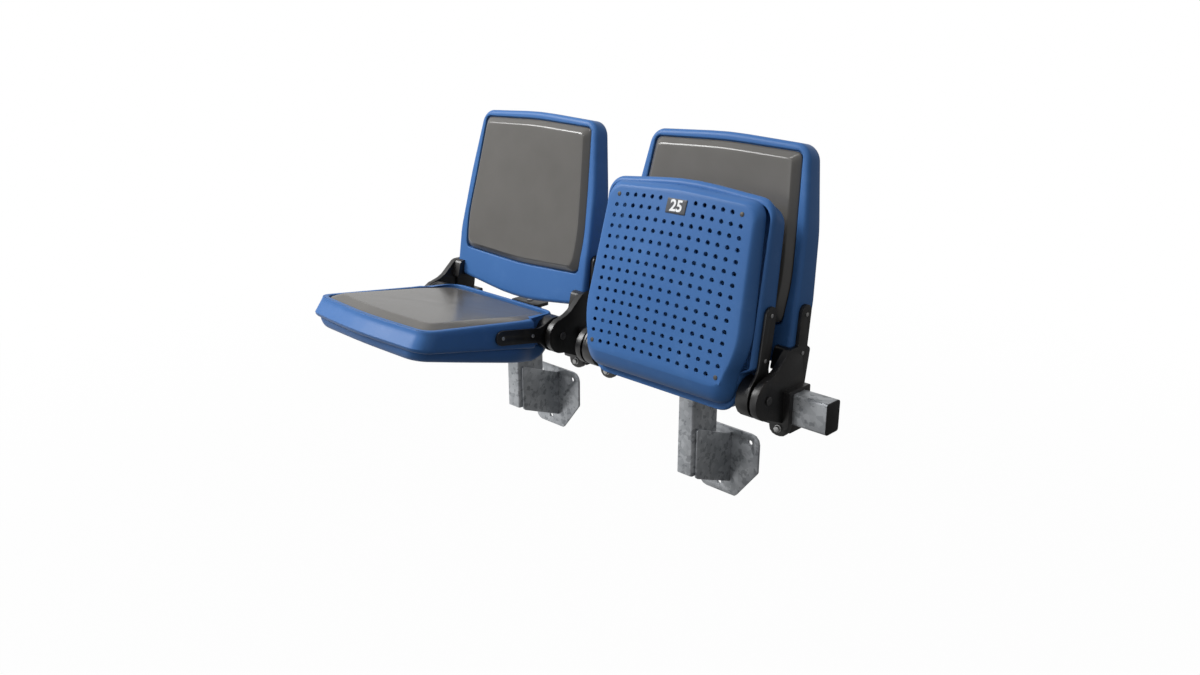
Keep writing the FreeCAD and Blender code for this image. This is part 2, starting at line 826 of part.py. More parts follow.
def make_back_rivets():
    rivets = []
    length = "Sizes.bracket_outer - Sizes.back_half + Sizes.back_wall"
    for side in (-1, 1):
        for index, place in enumerate(back_rivet_places(side, size("bracket_outer"))):
            rivets.append(headed(
                "back_rivet_%d_%d" % (side + 1, index), ref("rivet_shank"), length,
                ref("rivet_head"), ref("rivet_head_thick"), place, Vector(-side, 0, 0),
            ))
    fixed_in_seats(group("back_rivet_set", rivets), "backrest_rivets")


def make_hinge_pins():
    for side, word in ((-1, "left"), (1, "right")):
        base = Vector(side * size("bracket_outer"), size("hinge_back"), size("hinge_up"))
        length = "Sizes.bracket_outer - Sizes.hub_inner - 2"
        shaft = cylinder(word + "_pin_shaft", ref("pin_radius"), length, base, Vector(-side, 0, 0))
        thick = ref("pin_head_thick")
        head = rod(word + "_pin_head", ref("pin_head_radius"), thick, base, Vector(side, 0, 0), 10)
        pin = fuse(word + "_pin", [shaft, head])
        fixed_in_seats(pin, word + "_hinge_pin")


# Moving arms, bushes and springs, drawn about the hinge axis

def along_arm(distance, across=0.0):
    """A point of the arm in its (Y, Z) plane: a distance out from the hinge and a distance above its line."""
    tilt = math.radians(size("arm_tilt"))
    forward = distance * math.cos(tilt) - across * math.sin(tilt)
    above = distance * math.sin(tilt) + across * math.cos(tilt)
    return -forward, above


def arm_profile():
    half = size("strap_width") / 2
    reach = size("arm_reach")
    boss = size("hub_radius")
    return outline([
        along_arm(4, boss - 0.4) + (0,),
        along_arm(20, boss - 4) + (20,),
        along_arm(46, half) + (20,),
        along_arm(reach, half) + (half - 0.6,),
        along_arm(reach, -half) + (half - 0.6,),
        along_arm(46, -half) + (20,),
        along_arm(20, -boss + 4) + (20,),
        along_arm(4, -boss + 0.4) + (0,),
    ])


def make_arm(name, side):
    body = new_body(name + "_arm_casting")
    gap = size("soft_gap")
    strap_inner = "Sizes.arm_outer - Sizes.arm_thick"
    disc = many_sided(0, 0, size("hub_radius") - 0.5, 18)
    side_pad(body, side, "hub", disc, ref("hub_inner"), ref("arm_outer"))
    side_pad(body, side, "strap", arm_profile(), strap_inner, ref("arm_outer"))
    bore = circle(0, 0, size("pin_radius") + size("bush_wall"))
    side_pocket(body, side, "bush_bore", bore, ref("hub_inner"), ref("arm_outer"))
    outer = (size("spring_mean_radius") + size("spring_wire") / 2) / math.cos(math.pi / 8) + gap
    inner = size("spring_mean_radius") - size("spring_wire") / 2 - gap
    cavity = many_sided(0, 0, outer / math.cos(math.pi / 12), 12) + many_sided(0, 0, inner, 12)
    side_pocket(body, side, "spring_room", cavity, ref("hub_inner"), "Sizes.hub_inner + %f" % spring_room())
    for index, key in enumerate(("arm_rivet_near", "arm_rivet_far")):
        place = along_arm(size(key))
        hole = shank_bore(place[0], place[1], size("rivet_shank"))
        side_pocket(body, side, "rivet_bore_%d" % index, hole, strap_inner, ref("arm_outer"))
    moving_in_seats(body, name + "_arm")


def spring_room():
    """How deep the hub is hollowed for its spring."""
    return (size("spring_turns") + 1) * (size("spring_wire") + 0.3) + 1


def make_bush(name, side):
    flange = size("bracket_inner") - size("arm_outer") - size("soft_gap") - 0.1
    inner = Vector(side * (size("hub_inner") + 2), 0, 0)
    outer = Vector(side * size("arm_outer"), 0, 0)
    direction = Vector(side, 0, 0)
    length = "Sizes.arm_outer - Sizes.hub_inner - 2"
    sleeve = rod(name + "_bush_sleeve", "Sizes.pin_radius + Sizes.bush_wall", length, inner, direction, 12)
    collar = rod(name + "_bush_flange", ref("bush_flange"), "%f" % flange, outer, direction, 12)
    bore_radius = "Sizes.pin_radius + Sizes.running_gap"
    bore = cylinder(name + "_bush_bore", bore_radius, "60", direction * 170, direction)
    bush = cut(name + "_bush_turned", fuse(name + "_bush_blank", [sleeve, collar]), bore)
    moving_in_seats(bush, name + "_bush")


def make_spring():
    """A wound torsion spring in the right hub, run through turned squares: no body feature coils so."""
    wire = size("spring_wire")
    radius = size("spring_mean_radius")
    half = wire / 2
    steps = 8
    squares = []
    for index in range(int(size("spring_turns")) * steps + 1):
        angle = math.tau * index / steps
        along = size("hub_inner") + half + 0.3 + (wire + 0.3) * index / steps
        ring = []
        for out, over in ((-half, -half), (half, -half), (half, half), (-half, half)):
            reach = (radius + out) / math.cos(math.pi / steps)
            ring.append(Vector(along + over, reach * math.cos(angle), reach * math.sin(angle)))
        squares.append(ring)
    spring = doc.addObject("Part::Feature", "spring")
    spring.Shape = solid_between(squares)
    moving_in_seats(spring, "return_spring")


def make_arm_rivets():
    rivets = []
    for side in (-1, 1):
        for index, key in enumerate(("arm_rivet_near", "arm_rivet_far")):
            back, up = along_arm(size(key))
            place = Vector(side * size("arm_outer"), back, up)
            rivets.append(headed(
                "arm_rivet_%d_%d" % (side + 1, index), ref("rivet_shank"), "Sizes.arm_thick + Sizes.pan_wall",
                ref("rivet_head"), ref("rivet_head_thick"), place, Vector(-side, 0, 0),
            ))
    moving_in_seats(group("arm_rivet_set", rivets), "arm_rivets")


# Seat pan, drawn about the hinge axis with forward as -Y

def pan_outline(inset, front, rear):
    """The pan seen from above, on a sloping plane: narrow between the hubs, then full width."""
    side_half = size("pan_half") - inset
    front_half = size("pan_front_half") - inset
    neck = size("notch_half") - inset
    step = size("notch_front") + inset * 0.4
    corner = max(size("pan_corner") - inset, 12)
    bow = size("pan_bow") * front_half / 108
    return outline([
        (neck, -rear, 34),
        (neck, -step, 0),
        (side_half, -step - 13, 0),
        (front_half, -front, corner),
        (0, -front - bow, 3.8 * front_half),
        (-front_half, -front, corner),
        (-side_half, -step - 13, 0),
        (-neck, -step, 0),
        (-neck, -rear, 34),
    ])


def pan_plane(name, shapes, up, slope):
    """A sketch on a plane that climbs towards the front."""
    return profile(name, shapes, Vector(0, 0, up), Vector(1, 0, 0), -slope)


def make_pan():
    wall = size("pan_wall")
    rim = size("rim_up")
    rim_slope = size("rim_slope")
    split = size("split_up")
    split_slope = size("split_slope")
    deep = size("recess_deep")
    front = size("pan_rim_front")
    rear = size("pan_rear")
    low_front = size("pan_split_front")
    low_rear = size("pan_split_rear")
    outer = loft("pan_outer", [
        pan_plane("pan_rim", pan_outline(6, front - 2, rear + 3), rim, rim_slope),
        pan_plane("pan_brow", pan_outline(1.5, front + 2, rear), rim - 6, rim_slope),
        pan_plane("pan_edge", pan_outline(0, low_front, low_rear), split + 5, split_slope),
        pan_plane("pan_split", pan_outline(2, low_front - 2, low_rear + 2), split, split_slope),
    ])
    top_inside = pan_outline(6 + wall, front - wall, rear + wall)
    low_inside = pan_outline(wall, low_front - wall, low_rear + wall)
    hollow = loft("pan_hollow", [
        pan_plane("pan_ceiling", top_inside, rim - deep - wall, rim_slope),
        pan_plane("pan_mouth", low_inside, split - 0.5, split_slope),
    ])
    recess_shape = pan_plane("pan_recess_outline", seat_pad_outline(0), rim - deep, rim_slope)
    tilt = math.radians(rim_slope)
    rise = Vector(0, math.sin(tilt), math.cos(tilt))
    recess = prism("pan_recess", recess_shape, rise, 40)
    tray = cut("pan_tray", outer, hollow)
    open_pan = cut("pan_open", tray, recess)
    bosses = common("pan_bosses", group("pan_boss_posts", boss_posts()), hollow)
    holes = group("pan_rivet_bores", pan_rivet_bores())
    shell = cut("pan_shell", fuse("pan_joined", [open_pan, bosses]), holes)
    screwed = cut("pan_screwed", shell, group("pan_screw_bores", screw_rods("pan_bore", 60.0)))
    moving_in_seats(screwed, "shell")


def pan_rivet_bores():
    bores = []
    for side in (-1, 1):
        for index, key in enumerate(("arm_rivet_near", "arm_rivet_far")):
            back, up = along_arm(size(key))
            base = Vector(side * (size("arm_outer") + 1), back, up)
            name = "pan_rivet_bore_%d_%d" % (side + 1, index)
            bores.append(rod(name, "Sizes.rivet_shank / cos(30)", "14", base, Vector(-side, 0, 0)))
    return bores


def hole_places():
    """Every place of the perforation grid on the cover's plane, as (row, column, x, y)."""
    count = int(size("hole_rows"))
    places = []
    for row in range(count):
        share = row / (count - 1)
        half = size("hole_half_front") + (size("hole_half_rear") - size("hole_half_front")) * share
        half += size("hole_barrel") * 4 * share * (1 - share)
        for column in range(count):
            across = 2 * column / (count - 1) - 1
            forward = size("hole_first") - row * size("hole_pitch") + size("hole_bow") * (1 - across ** 2)
            places.append((row, column, across * half, -forward))
    return places


def is_corner(row, column):
    last = int(size("hole_rows")) - 1
    return row in (0, last) and column in (0, last)


def is_plated(x, y):
    half_wide = size("plate_wide") / 2 + 2
    half_high = size("plate_high") / 2 + 2
    return abs(x) < half_wide and abs(y + size("plate_front")) < half_high


def cover_point(x, y, lift=0.0):
    """A point of the cover's flat face, from its place on the sloping plane, lifted into the pan."""
    tilt = math.radians(size("cover_slope"))
    place = Vector(x, y * math.cos(tilt), size("cover_up") - y * math.sin(tilt))
    return place + cover_normal() * lift


def cover_normal():
    """Square to the cover's face, pointing up into the pan."""
    tilt = math.radians(size("cover_slope"))
    return Vector(0, math.sin(tilt), math.cos(tilt))


def corner_points(lift):
    return [cover_point(x, y, lift) for row, column, x, y in hole_places() if is_corner(row, column)]


def screw_rods(name, length):
    rods = []
    for index, place in enumerate(corner_points(0)):
        word = "%s_%d" % (name, index)
        rods.append(rod(word, "Sizes.cover_screw_radius / cos(30)", str(length), place, cover_normal()))
    return rods


def boss_posts():
    """Posts that take the cover's corner screws."""
    posts = []
    for index, place in enumerate(corner_points(size("cover_wall") + size("fit_gap"))):
        posts.append(rod("boss_%d" % index, ref("boss_radius"), "140", place, cover_normal(), 8))
    return posts


def cover_section(name, wall, drawn, share, lift):
    """A level of the cover: share 0 is its rim at the split, 1 is its perforated face."""
    up = size("split_up") + (size("cover_up") - size("split_up")) * share + lift
    slope = size("split_slope") + (size("cover_slope") - size("split_slope")) * share
    level = math.cos(math.radians(slope))
    front = (size("cover_front") - wall - 0.55 * drawn) / level
    rear = (size("cover_rear") + (size("cover_face_rear") - size("cover_rear")) * share ** 4 + wall) / level
    corner = (size("cover_front_half") - wall - drawn, -front, 32 - wall)
    widest = (size("cover_half") - wall - drawn, -size("cover_half_at"), 60)
    waist = (size("cover_rear_half") + 2 - wall - 0.7 * drawn, -44 - 0.8 * drawn, 0)
    heel = (size("cover_rear_half") - wall - drawn, -rear, 30 - wall)
    right = [heel, waist, widest, corner]
    left = [(-x, y, radius) for x, y, radius in reversed(right)]
    middle = (0, -front - size("pan_bow") * 0.85, 3.4 * size("cover_front_half"))
    return pan_plane(name, outline(right + [middle] + left), up, slope)


def cover_tray(name, wall, lift):
    """The lower cover's outside, or its inside when it is drawn in by the wall and lifted."""
    face = size("cover_round")
    return loft(name, [
        cover_section(name + "_top", wall, 0, 0, lift and 0.5),
        cover_section(name + "_waist", wall, 2, 0.6, lift * 0.6),
        cover_section(name + "_low", wall, 0.45 * face, 0.87, lift * 0.87),
        cover_section(name + "_face", wall, face, 1, lift),
    ])


def make_cover():
    wall = size("cover_wall")
    outside = cover_tray("cover_outside", 0, 0)
    inside = cover_tray("cover_inside", wall, wall / math.cos(math.radians(size("cover_slope"))))
    tray = cut("cover_tray", outside, inside)
    corners = 4
    radius = size("hole_across") / 2 / math.cos(math.pi / 6)
    tilt = FreeCAD.Rotation(Vector(1, 0, 0), -size("cover_slope"))
    cutters = []
    for row, column, x, y in hole_places():
        if is_corner(row, column) or is_plated(x, y):
            continue
        ring = []
        for step in range(corners):
            angle = math.tau * (step + 0.5) / corners
            ring.append(Vector(radius * math.cos(angle), radius * math.sin(angle), 0))
        face = Part.Face(Part.makePolygon(ring + [ring[0]]))
        cutter = face.extrude(Vector(0, 0, 3 * wall))
        cutter.Placement = FreeCAD.Placement(cover_point(x, y, -wall), tilt)
        cutters.append(cutter)
    punch = doc.addObject("Part::Feature", "cover_punch")
    punch.Shape = Part.makeCompound(cutters)
    punched = cut("cover_punched", tray, punch)
    rods = group("cover_screw_bores", screw_rods("cover_bore", 30.0))
    cover = cut("cover_done", punched, rods)
    moving_in_seats(cover, "cover")


def make_cover_screws():
    screws = []
    for index, place in enumerate(corner_points(0)):
        screws.append(headed(
            "cover_screw_%d" % index, ref("cover_screw_radius"), "Sizes.cover_wall + Sizes.cover_screw_reach",
            ref("cover_screw_head"), ref("rivet_head_thick"), place, cover_normal(),
        ))
    moving_in_seats(group("cover_screw_set", screws), "cover_screws")


def make_number_plate():
    thick = size("plate_thick")
    tilt = FreeCAD.Rotation(Vector(1, 0, 0), -size("cover_slope"))
    half = size("plate_wide") / 2
    high = size("plate_high") / 2
    shape = profile("plate_outline", rectangle(-half, half, -high, high, 2.0))
    blank = prism("plate", shape, Vector(0, 0, 1), thick)
    blank.Placement = FreeCAD.Placement(cover_point(0, -size("plate_front"), -thick), tilt)
    moving_in_seats(group("plate_placed", [blank]), "number_plate")


def seat_pad_outline(inset):
    """The recess for the seat cushion, on the rim's plane."""
    rim_inset = size("seat_pad_inset") + inset
    half = size("pan_half") - 5 - rim_inset
    front_half = size("pan_front_half") - 5 - rim_inset
    neck = size("notch_half") - rim_inset
    rear = size("pan_rear") + rim_inset
    ahead = size("pan_rim_front") - rim_inset
    corner = max(size("pan_corner") - rim_inset, 14)
    return outline([
        (0, -rear - size("pan_rear_bow") * neck / 176, 7 * neck),
        (neck, -rear, 30),
        (half, -size("notch_front") - 30 - inset * 0.6, 60),
        (front_half, -ahead, corner),
        (0, -ahead - size("pan_bow") * front_half / 108, 3.8 * front_half),
        (-front_half, -ahead, corner),
        (-half, -size("notch_front") - 30 - inset * 0.6, 60),
        (-neck, -rear, 30),
    ])


def make_seat_pad():
    gap = size("soft_gap")
    deep = size("recess_deep")
    bevel = size("seat_pad_bevel")
    rise = size("seat_pad_rise")
    levels = (
        (gap + 2, -deep + gap),
        (gap, -deep / 2),
        (gap + 3, 1.5),
        (gap + bevel, rise),
        (gap + 2.6 * bevel, rise + size("seat_pad_crown")),
    )
    sections = []
    for index, (inset, lift) in enumerate(levels):
        up = size("rim_up") + lift
        sketch = pan_plane("seat_pad_%d" % index, seat_pad_outline(inset), up, size("rim_slope"))
        sections.append(sketch)
    moving_in_seats(loft("cushion", sections), "pad")


# Build every piece

make_beam()
make_beam_cap("beam_cap_left", "beam_left_end", True)
make_beam_cap("beam_cap_right", "beam_right_end", False)
for word, side in (("left", -1), ("right", 1)):
    make_leg(word + "_leg", side)
    make_side_plate(word + "_side_plate", side)
    make_wall_plate(word + "_wall_plate", side)
    make_saddle(word + "_leg_saddle", side)
make_saddle_screws()

make_backrest()
make_back_rivets()
make_clamp_screws()
make_hinge_pins()
gap = size("soft_gap")
back_room = back_turn("back_room_leaning", back_solid("back_room", -gap, -gap, 1))
for word, side in (("left", -1), ("right", 1)):
    make_bracket(word, side, back_room)
    make_clamp_jaw(word, side)
    make_arm(word, side)
    make_bush(word, side)
make_pan()
make_cover()
make_cover_screws()
make_number_plate()
make_seat_pad()
make_spring()
make_arm_rivets()

doc.recompute()

for thing in doc.Objects:
    if "Invalid" in thing.State or "Error" in thing.State:
        raise RuntimeError("%s failed: %s" % (thing.Name, thing.State))
for name, thing in pieces:
    if thing.Shape.isNull() or not thing.Shape.isValid() or not thing.Shape.Solids:
        raise RuntimeError("%s has no valid solid" % name)

os.makedirs("parts", exist_ok=True)
for name, thing in pieces:
    thing.Shape.exportStep("parts/%s.step" % name)
print("%d pieces" % len(pieces))
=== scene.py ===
import bpy
import math
from mathutils import Matrix, Vector


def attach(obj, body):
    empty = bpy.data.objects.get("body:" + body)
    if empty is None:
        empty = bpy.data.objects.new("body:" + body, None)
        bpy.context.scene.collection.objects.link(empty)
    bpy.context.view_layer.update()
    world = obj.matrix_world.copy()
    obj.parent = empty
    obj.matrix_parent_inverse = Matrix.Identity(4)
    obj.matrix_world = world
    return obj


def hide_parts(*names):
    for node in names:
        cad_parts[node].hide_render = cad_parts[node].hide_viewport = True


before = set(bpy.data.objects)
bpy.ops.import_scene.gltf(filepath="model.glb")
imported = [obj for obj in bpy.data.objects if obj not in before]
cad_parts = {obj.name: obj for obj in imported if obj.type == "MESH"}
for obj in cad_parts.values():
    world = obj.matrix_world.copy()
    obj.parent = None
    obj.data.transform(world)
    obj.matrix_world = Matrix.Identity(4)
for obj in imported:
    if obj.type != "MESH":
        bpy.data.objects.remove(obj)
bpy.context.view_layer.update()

# Camera, floor and light
# A pair of seats is looked at from its right front corner, a little from above.
# The floor and the room are plain and pale. A broad lamp hangs high on the left, a weak one
# stands low in front, and two small ones above pick out the edges.

camera_data = bpy.data.cameras.new("camera")
camera_data.lens = 29.982
camera_data.sensor_width = 36
camera = bpy.data.objects.new("camera", camera_data)
camera.location = (1.4085, -1.573, 0.856)
camera.rotation_euler = (math.radians(71.596), 0, math.radians(44.198))
bpy.context.scene.collection.objects.link(camera)
bpy.context.scene.camera = camera
bpy.context.scene.view_settings.view_transform = "Standard"


class Reckoned:
    """A shader socket that adds Math nodes when it is reckoned with."""

    def __init__(self, tree, socket):
        self.tree = tree
        self.socket = socket

    def math(self, operation, first, second=0.0, clamp=False):
        node = self.tree.nodes.new("ShaderNodeMath")
        node.operation = operation
        node.use_clamp = clamp
        for socket, value in zip(node.inputs, (first, second)):
            join(self.tree, socket, value)
        return Reckoned(self.tree, node.outputs[0])

    def __add__(self, other):
        return self.math("ADD", self, other)

    def __sub__(self, other):
        return self.math("SUBTRACT", self, other)

    def __rsub__(self, other):
        return self.math("SUBTRACT", other, self)

    def __mul__(self, other):
        return self.math("MULTIPLY", self, other)

    __radd__ = __add__
    __rmul__ = __mul__

    def held(self):
        """The same value, kept between 0 and 1."""
        return self.math("ADD", self, 0.0, clamp=True)


def join(tree, socket, value):
    """Sets a socket to a plain value, or links it to another."""
    if isinstance(value, Reckoned):
        tree.links.new(value.socket, socket)
    elif isinstance(value, bpy.types.NodeSocket):
        tree.links.new(value, socket)
    else:
        socket.default_value = value


class Finish:
    """A material under way, with one method for any node."""

    def __init__(self, name, **plain):
        self.material = bpy.data.materials.new(name)
        self.material.use_nodes = True
        self.tree = self.material.node_tree
        self.shader = self.tree.nodes["Principled BSDF"]
        self.output = self.tree.nodes["Material Output"]
        for socket, value in plain.items():
            self.set(socket.replace("_", " "), value)
        self.place = self.node("ShaderNodeTexCoord", "Object")

    def set(self, socket, value):
        join(self.tree, self.shader.inputs[socket], value)

    def node(self, kind, output, settings=None, **inputs):
        """Any node: its settings first, then its sockets; gives back the named output."""
        node = self.tree.nodes.new(kind)
        for setting, value in (settings or {}).items():
            setattr(node, setting, value)
        for socket, value in inputs.items():
            socket = int(socket[1:]) if socket[0] == "_" else socket.replace("_", " ")
            join(self.tree, node.inputs[socket], value)
        return Reckoned(self.tree, node.outputs[output])

    def noise(self, scale, detail=2.0, roughness=0.5):
        return self.node(
            "ShaderNodeTexNoise", "Fac",
            Vector=self.place, Scale=scale, Detail=detail, Roughness=roughness,
        )

    def blend(self, first, second, factor):
        """One colour turning into another."""
        settings = {"data_type": "RGBA"}
        return self.node("ShaderNodeMix", 2, settings, _0=factor, _6=first, _7=second)

    def ramp(self, value, low, high):
        """0 below low, 1 above high, smooth in between."""
        settings = {"interpolation_type": "SMOOTHSTEP"}
        return self.node(
            "ShaderNodeMapRange", 0, settings, Value=value, From_Min=low, From_Max=high,
        )

    def bump(self, height, strength, depth):
        self.set("Normal", self.node(
            "ShaderNodeBump", "Normal", Height=height, Strength=strength, Distance=depth,
        ))


def linear(red, green, blue):
    """A colour read off a screen, 0 to 255, as the light it gives."""
    channels = []
    for part in (red, green, blue):
        part /= 255
        channels.append(part / 12.92 if part <= 0.04045 else ((part + 0.055) / 1.055) ** 2.4)
    return (*channels, 1.0)


def seen_white(finish, strength, glossy_share):
    """Shows near-white to the camera and less of it to gloss; other rays meet the paint."""
    rays = finish.tree.nodes.new("ShaderNodeLightPath")
    camera_ray = Reckoned(finish.tree, rays.outputs["Is Camera Ray"])
    glossy_ray = Reckoned(finish.tree, rays.outputs["Is Glossy Ray"])
    through_ray = Reckoned(finish.tree, rays.outputs["Is Transmission Ray"])
    seen = (camera_ray + glossy_ray * glossy_share + through_ray).held() * strength
    white = finish.tree.nodes.new("ShaderNodeEmission")
    mixed = finish.node(
        "ShaderNodeMixShader", 0,
        _0=seen, _1=finish.shader.outputs[0], _2=white.outputs[0],
    )
    finish.tree.links.new(mixed.socket, finish.output.inputs[0])


def nothing_selected():
    """Leaves edit mode and drops the selection."""
    if bpy.context.object and bpy.context.object.mode != "OBJECT":
        bpy.ops.object.mode_set(mode="OBJECT")
    bpy.ops.object.select_all(action="DESELECT")


def only_selected(piece):
    nothing_selected()
    piece.select_set(True)
    bpy.context.view_layer.objects.active = piece


FLOOR_ACROSS = 14
FLOOR_UP = -0.55
nothing_selected()
bpy.ops.mesh.primitive_grid_add(
    x_subdivisions=2, y_subdivisions=2, size=FLOOR_ACROSS, location=(0, 0, FLOOR_UP),
)
floor = bpy.context.object
floor.name = "floor"
floor_paint = Finish("pale_floor", Roughness=0.9)
clouded = floor_paint.noise(3.0)
floor_paint.set(
    "Base Color", floor_paint.blend((0.09, 0.09, 0.09, 1), (0.08, 0.08, 0.08, 1), clouded),
)
away = floor_paint.node(
    "ShaderNodeVectorMath", "Value", {"operation": "LENGTH"}, _0=floor_paint.place,
)
sideways = floor_paint.node("ShaderNodeSeparateXYZ", 0, Vector=floor_paint.place)
left_share = floor_paint.ramp(0.5 - sideways, 0.0, 1.6) * 0.85 + 0.1
NEAR_WHITE = 0.985
near_to_full = floor_paint.ramp(away, 1.0, 3.5)
seen_white(floor_paint, NEAR_WHITE + (1 - NEAR_WHITE) * near_to_full, left_share)
floor.data.materials.append(floor_paint.material)

room = bpy.data.worlds.new("room")
room.use_nodes = True
bpy.context.scene.world = room
sky = room.node_tree.nodes["Background"]
path = room.node_tree.nodes.new("ShaderNodeLightPath")
compass = room.node_tree.nodes.new("ShaderNodeTexCoord")
aim = room.node_tree.nodes.new("ShaderNodeVectorMath")
aim.operation = "DOT_PRODUCT"
room.node_tree.links.new(compass.outputs["Generated"], aim.inputs[0])
aim.inputs[1].default_value = (-0.85, 0.4, 0.0)
camera_ray = Reckoned(room.node_tree, path.outputs["Is Camera Ray"])
lit = (camera_ray + path.outputs["Is Transmission Ray"]).held()
leftwards = ((Reckoned(room.node_tree, aim.outputs["Value"]) + 0.1) * 1.5).held()
gloss = Reckoned(room.node_tree, path.outputs["Is Glossy Ray"])
dim = 0.38 + (gloss * 0.34) * leftwards
sky.inputs["Color"].default_value = (1, 1, 1, 1)
join(room.node_tree, sky.inputs["Strength"], dim + lit - dim * lit)

LAMPS_AIM = Vector((0, -0.2, 0.35))
LAMPS = (
    ("key", (-2.5, -2.1, 2.75), 2.0, 166),
    ("front", (-0.6, -3.6, 0.9), 2.2, 14),
    ("crown", (0.0, -0.8, 2.7), 0.35, 6),
    ("glint", (0.2, -2.3, 2.2), 0.3, 3),
)
for name, place, across, watts in LAMPS:
    lamp_data = bpy.data.lights.new(name, "AREA")
    lamp_data.shape = "DISK"
    lamp_data.size = across
    lamp_data.energy = watts
    lamp = bpy.data.objects.new(name, lamp_data)
    lamp.location = place
    lamp.rotation_euler = (LAMPS_AIM - Vector(place)).to_track_quat("-Z", "Y").to_euler()
    bpy.context.scene.collection.objects.link(lamp)

# Beam, legs and wall plates
# Square and oblong steel tube with welded plates, dipped in molten zinc, which leaves a
# mottled grey skin. The beam's open ends take black plastic plugs.

SEAM_WELD = 0.00005
FLAT_WITHIN = math.radians(1.0)
EASED_ABOVE = math.radians(38)
SMOOTH_BELOW = math.radians(34)
SEATS = ("left_seat", "right_seat")
SIDES = ("left", "right")


def dressed(node, name, edge, finish, slot, body, steps=2):
    """A node's own shape, with its seams welded and its sharp edges eased, in a finish."""
    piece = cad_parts[node].copy()
    piece.data = piece.data.copy()
    piece.name = name
    piece.parent = None
    piece.matrix_world = Matrix.Identity(4)
    bpy.context.scene.collection.objects.link(piece)
    piece.hide_render = False
    only_selected(piece)
    bpy.ops.object.mode_set(mode="EDIT")
    bpy.ops.mesh.select_all(action="SELECT")
    bpy.ops.mesh.remove_doubles(threshold=SEAM_WELD)
    bpy.ops.mesh.dissolve_limited(angle_limit=FLAT_WITHIN)
    bpy.ops.object.mode_set(mode="OBJECT")
    if edge:
        eased = piece.modifiers.new("edges", "BEVEL")
        eased.width = edge
        eased.segments = steps
        eased.limit_method = "ANGLE"
        eased.angle_limit = EASED_ABOVE
        eased.use_clamp_overlap = True
        bpy.ops.object.modifier_apply(modifier="edges")
    bpy.ops.object.shade_smooth_by_angle(angle=SMOOTH_BELOW)
    piece.data.materials.clear()
    piece.data.materials.append(finish)
    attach(piece, body)
    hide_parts(node)
    return piece


zinc = Finish("galvanised_skin", Metallic=0.8)
flake = zinc.node(
    "ShaderNodeTexVoronoi", "Color", {"feature": "F1"}, Vector=zinc.place, Scale=80.0,
)
flake_grey = zinc.node("ShaderNodeSeparateColor", 0, Color=flake)
cloud = zinc.noise(13.0, 3.0, 0.6)
streak = zinc.noise(60.0, 3.0, 0.65)
blotch = zinc.ramp(zinc.noise(68.0, 2.5, 0.6), 0.57, 0.61)
mottle = (flake_grey * 0.3 + cloud * 0.5 + streak * 0.25).held()
pale = zinc.blend(linear(128, 132, 137), linear(214, 217, 220), mottle)
zinc.set("Base Color", zinc.blend(pale, linear(84, 88, 94), blotch * 0.4))
zinc.set("Roughness", 0.3 + 0.3 * cloud)
zinc.bump(streak * 0.4 + flake_grey * 0.3 - blotch * 0.4, 0.18, 0.0005)

cap_black = Finish("cap_plastic", Base_Color=linear(25, 25, 26), Specular_IOR_Level=0.3)
cap_black.set("Roughness", 0.42 + 0.2 * cap_black.noise(40.0))
cap_black.bump(cap_black.noise(1400.0, 1.0), 0.12, 0.0002)

galvanised = (zinc.material, "galvanised", "frame")
dressed("beam", "beam_tube", 0.0, *galvanised)
for side in SIDES:
    cap = (f"beam_cap_{side}", f"beam_plug_{side}", 0.0012)
    dressed(*cap, cap_black.material, "black_plastic", "frame")
    dressed(f"{side}_leg", f"{side}_leg_tube", 0.0, *galvanised)
    dressed(f"{side}_side_plate", f"{side}_gusset", 0.0008, *galvanised)
    dressed(f"{side}_wall_plate", f"{side}_wall_flange", 0.0008, *galvanised)

# Screws and rivets
# Plated steel screws hold the clamps, and steel rivets hold the plastic mouldings to
# their brackets and arms. Their heads are brighter than the black parts round them.

plated = Finish("plated_steel", Metallic=0.85, Roughness=0.36)
plating = plated.blend(linear(150, 150, 148), linear(196, 196, 196), plated.noise(300.0))
plated.set("Base Color", plating)
plated.bump(plated.noise(900.0), 0.1, 0.0002)
plated_steel = (plated.material, "zinc_steel")
dressed("saddle_screws", "leg_clamp_screws", 0.0006, *plated_steel, "frame")
for seat in SEATS:
    dressed(f"{seat}_clamp_screws", f"{seat}_beam_screws", 0.0006, *plated_steel, "frame")
    dressed(f"{seat}_backrest_rivets", f"{seat}_back_rivets", 0.0007, *plated_steel, "frame")
    dressed(f"{seat}_arm_rivets", f"{seat}_hinge_rivets", 0.0007, *plated_steel, seat)

# Brackets, saddles, clamp jaws and hinges
# Steel castings and flat arms, powder-coated satin black, worn brown-grey in patches. Jaws
# clamp the brackets to the beam, saddles clamp the legs, and each arm turns on a dark steel
# pin in a nylon bush.

coat = Finish("black_coat", Specular_IOR_Level=0.6)
grain = coat.noise(800.0, 2.0)
worn = coat.noise(30.0, 3.0)
worn_through = coat.ramp(worn, 0.5, 0.8)
coat.set("Base Color", coat.blend(linear(18, 17, 17), linear(40, 37, 33), worn_through))
coat.set("Roughness", 0.29 + 0.14 * worn)
coat.bump(grain, 0.15, 0.0002)
dark_steel = Finish("blackened_steel", Metallic=0.6, Roughness=0.4)
blackened = dark_steel.blend(linear(60, 60, 62), linear(96, 95, 95), dark_steel.noise(200.0))
dark_steel.set("Base Color", blackened)
nylon = Finish("dark_nylon", Roughness=0.5)
nylon.set("Base Color", nylon.blend(linear(56, 56, 56), linear(72, 72, 72), nylon.noise(90.0)))
black = (coat.material, "black_metal")
dark = (dark_steel.material, "dark_steel")
ROUND_STEPS = 4
# The leg saddles take the same black coat as the brackets, so they show dark under the seats.
for side in SIDES:
    dressed(f"{side}_leg_saddle", f"{side}_leg_clamp", 0.001, *black, "frame")
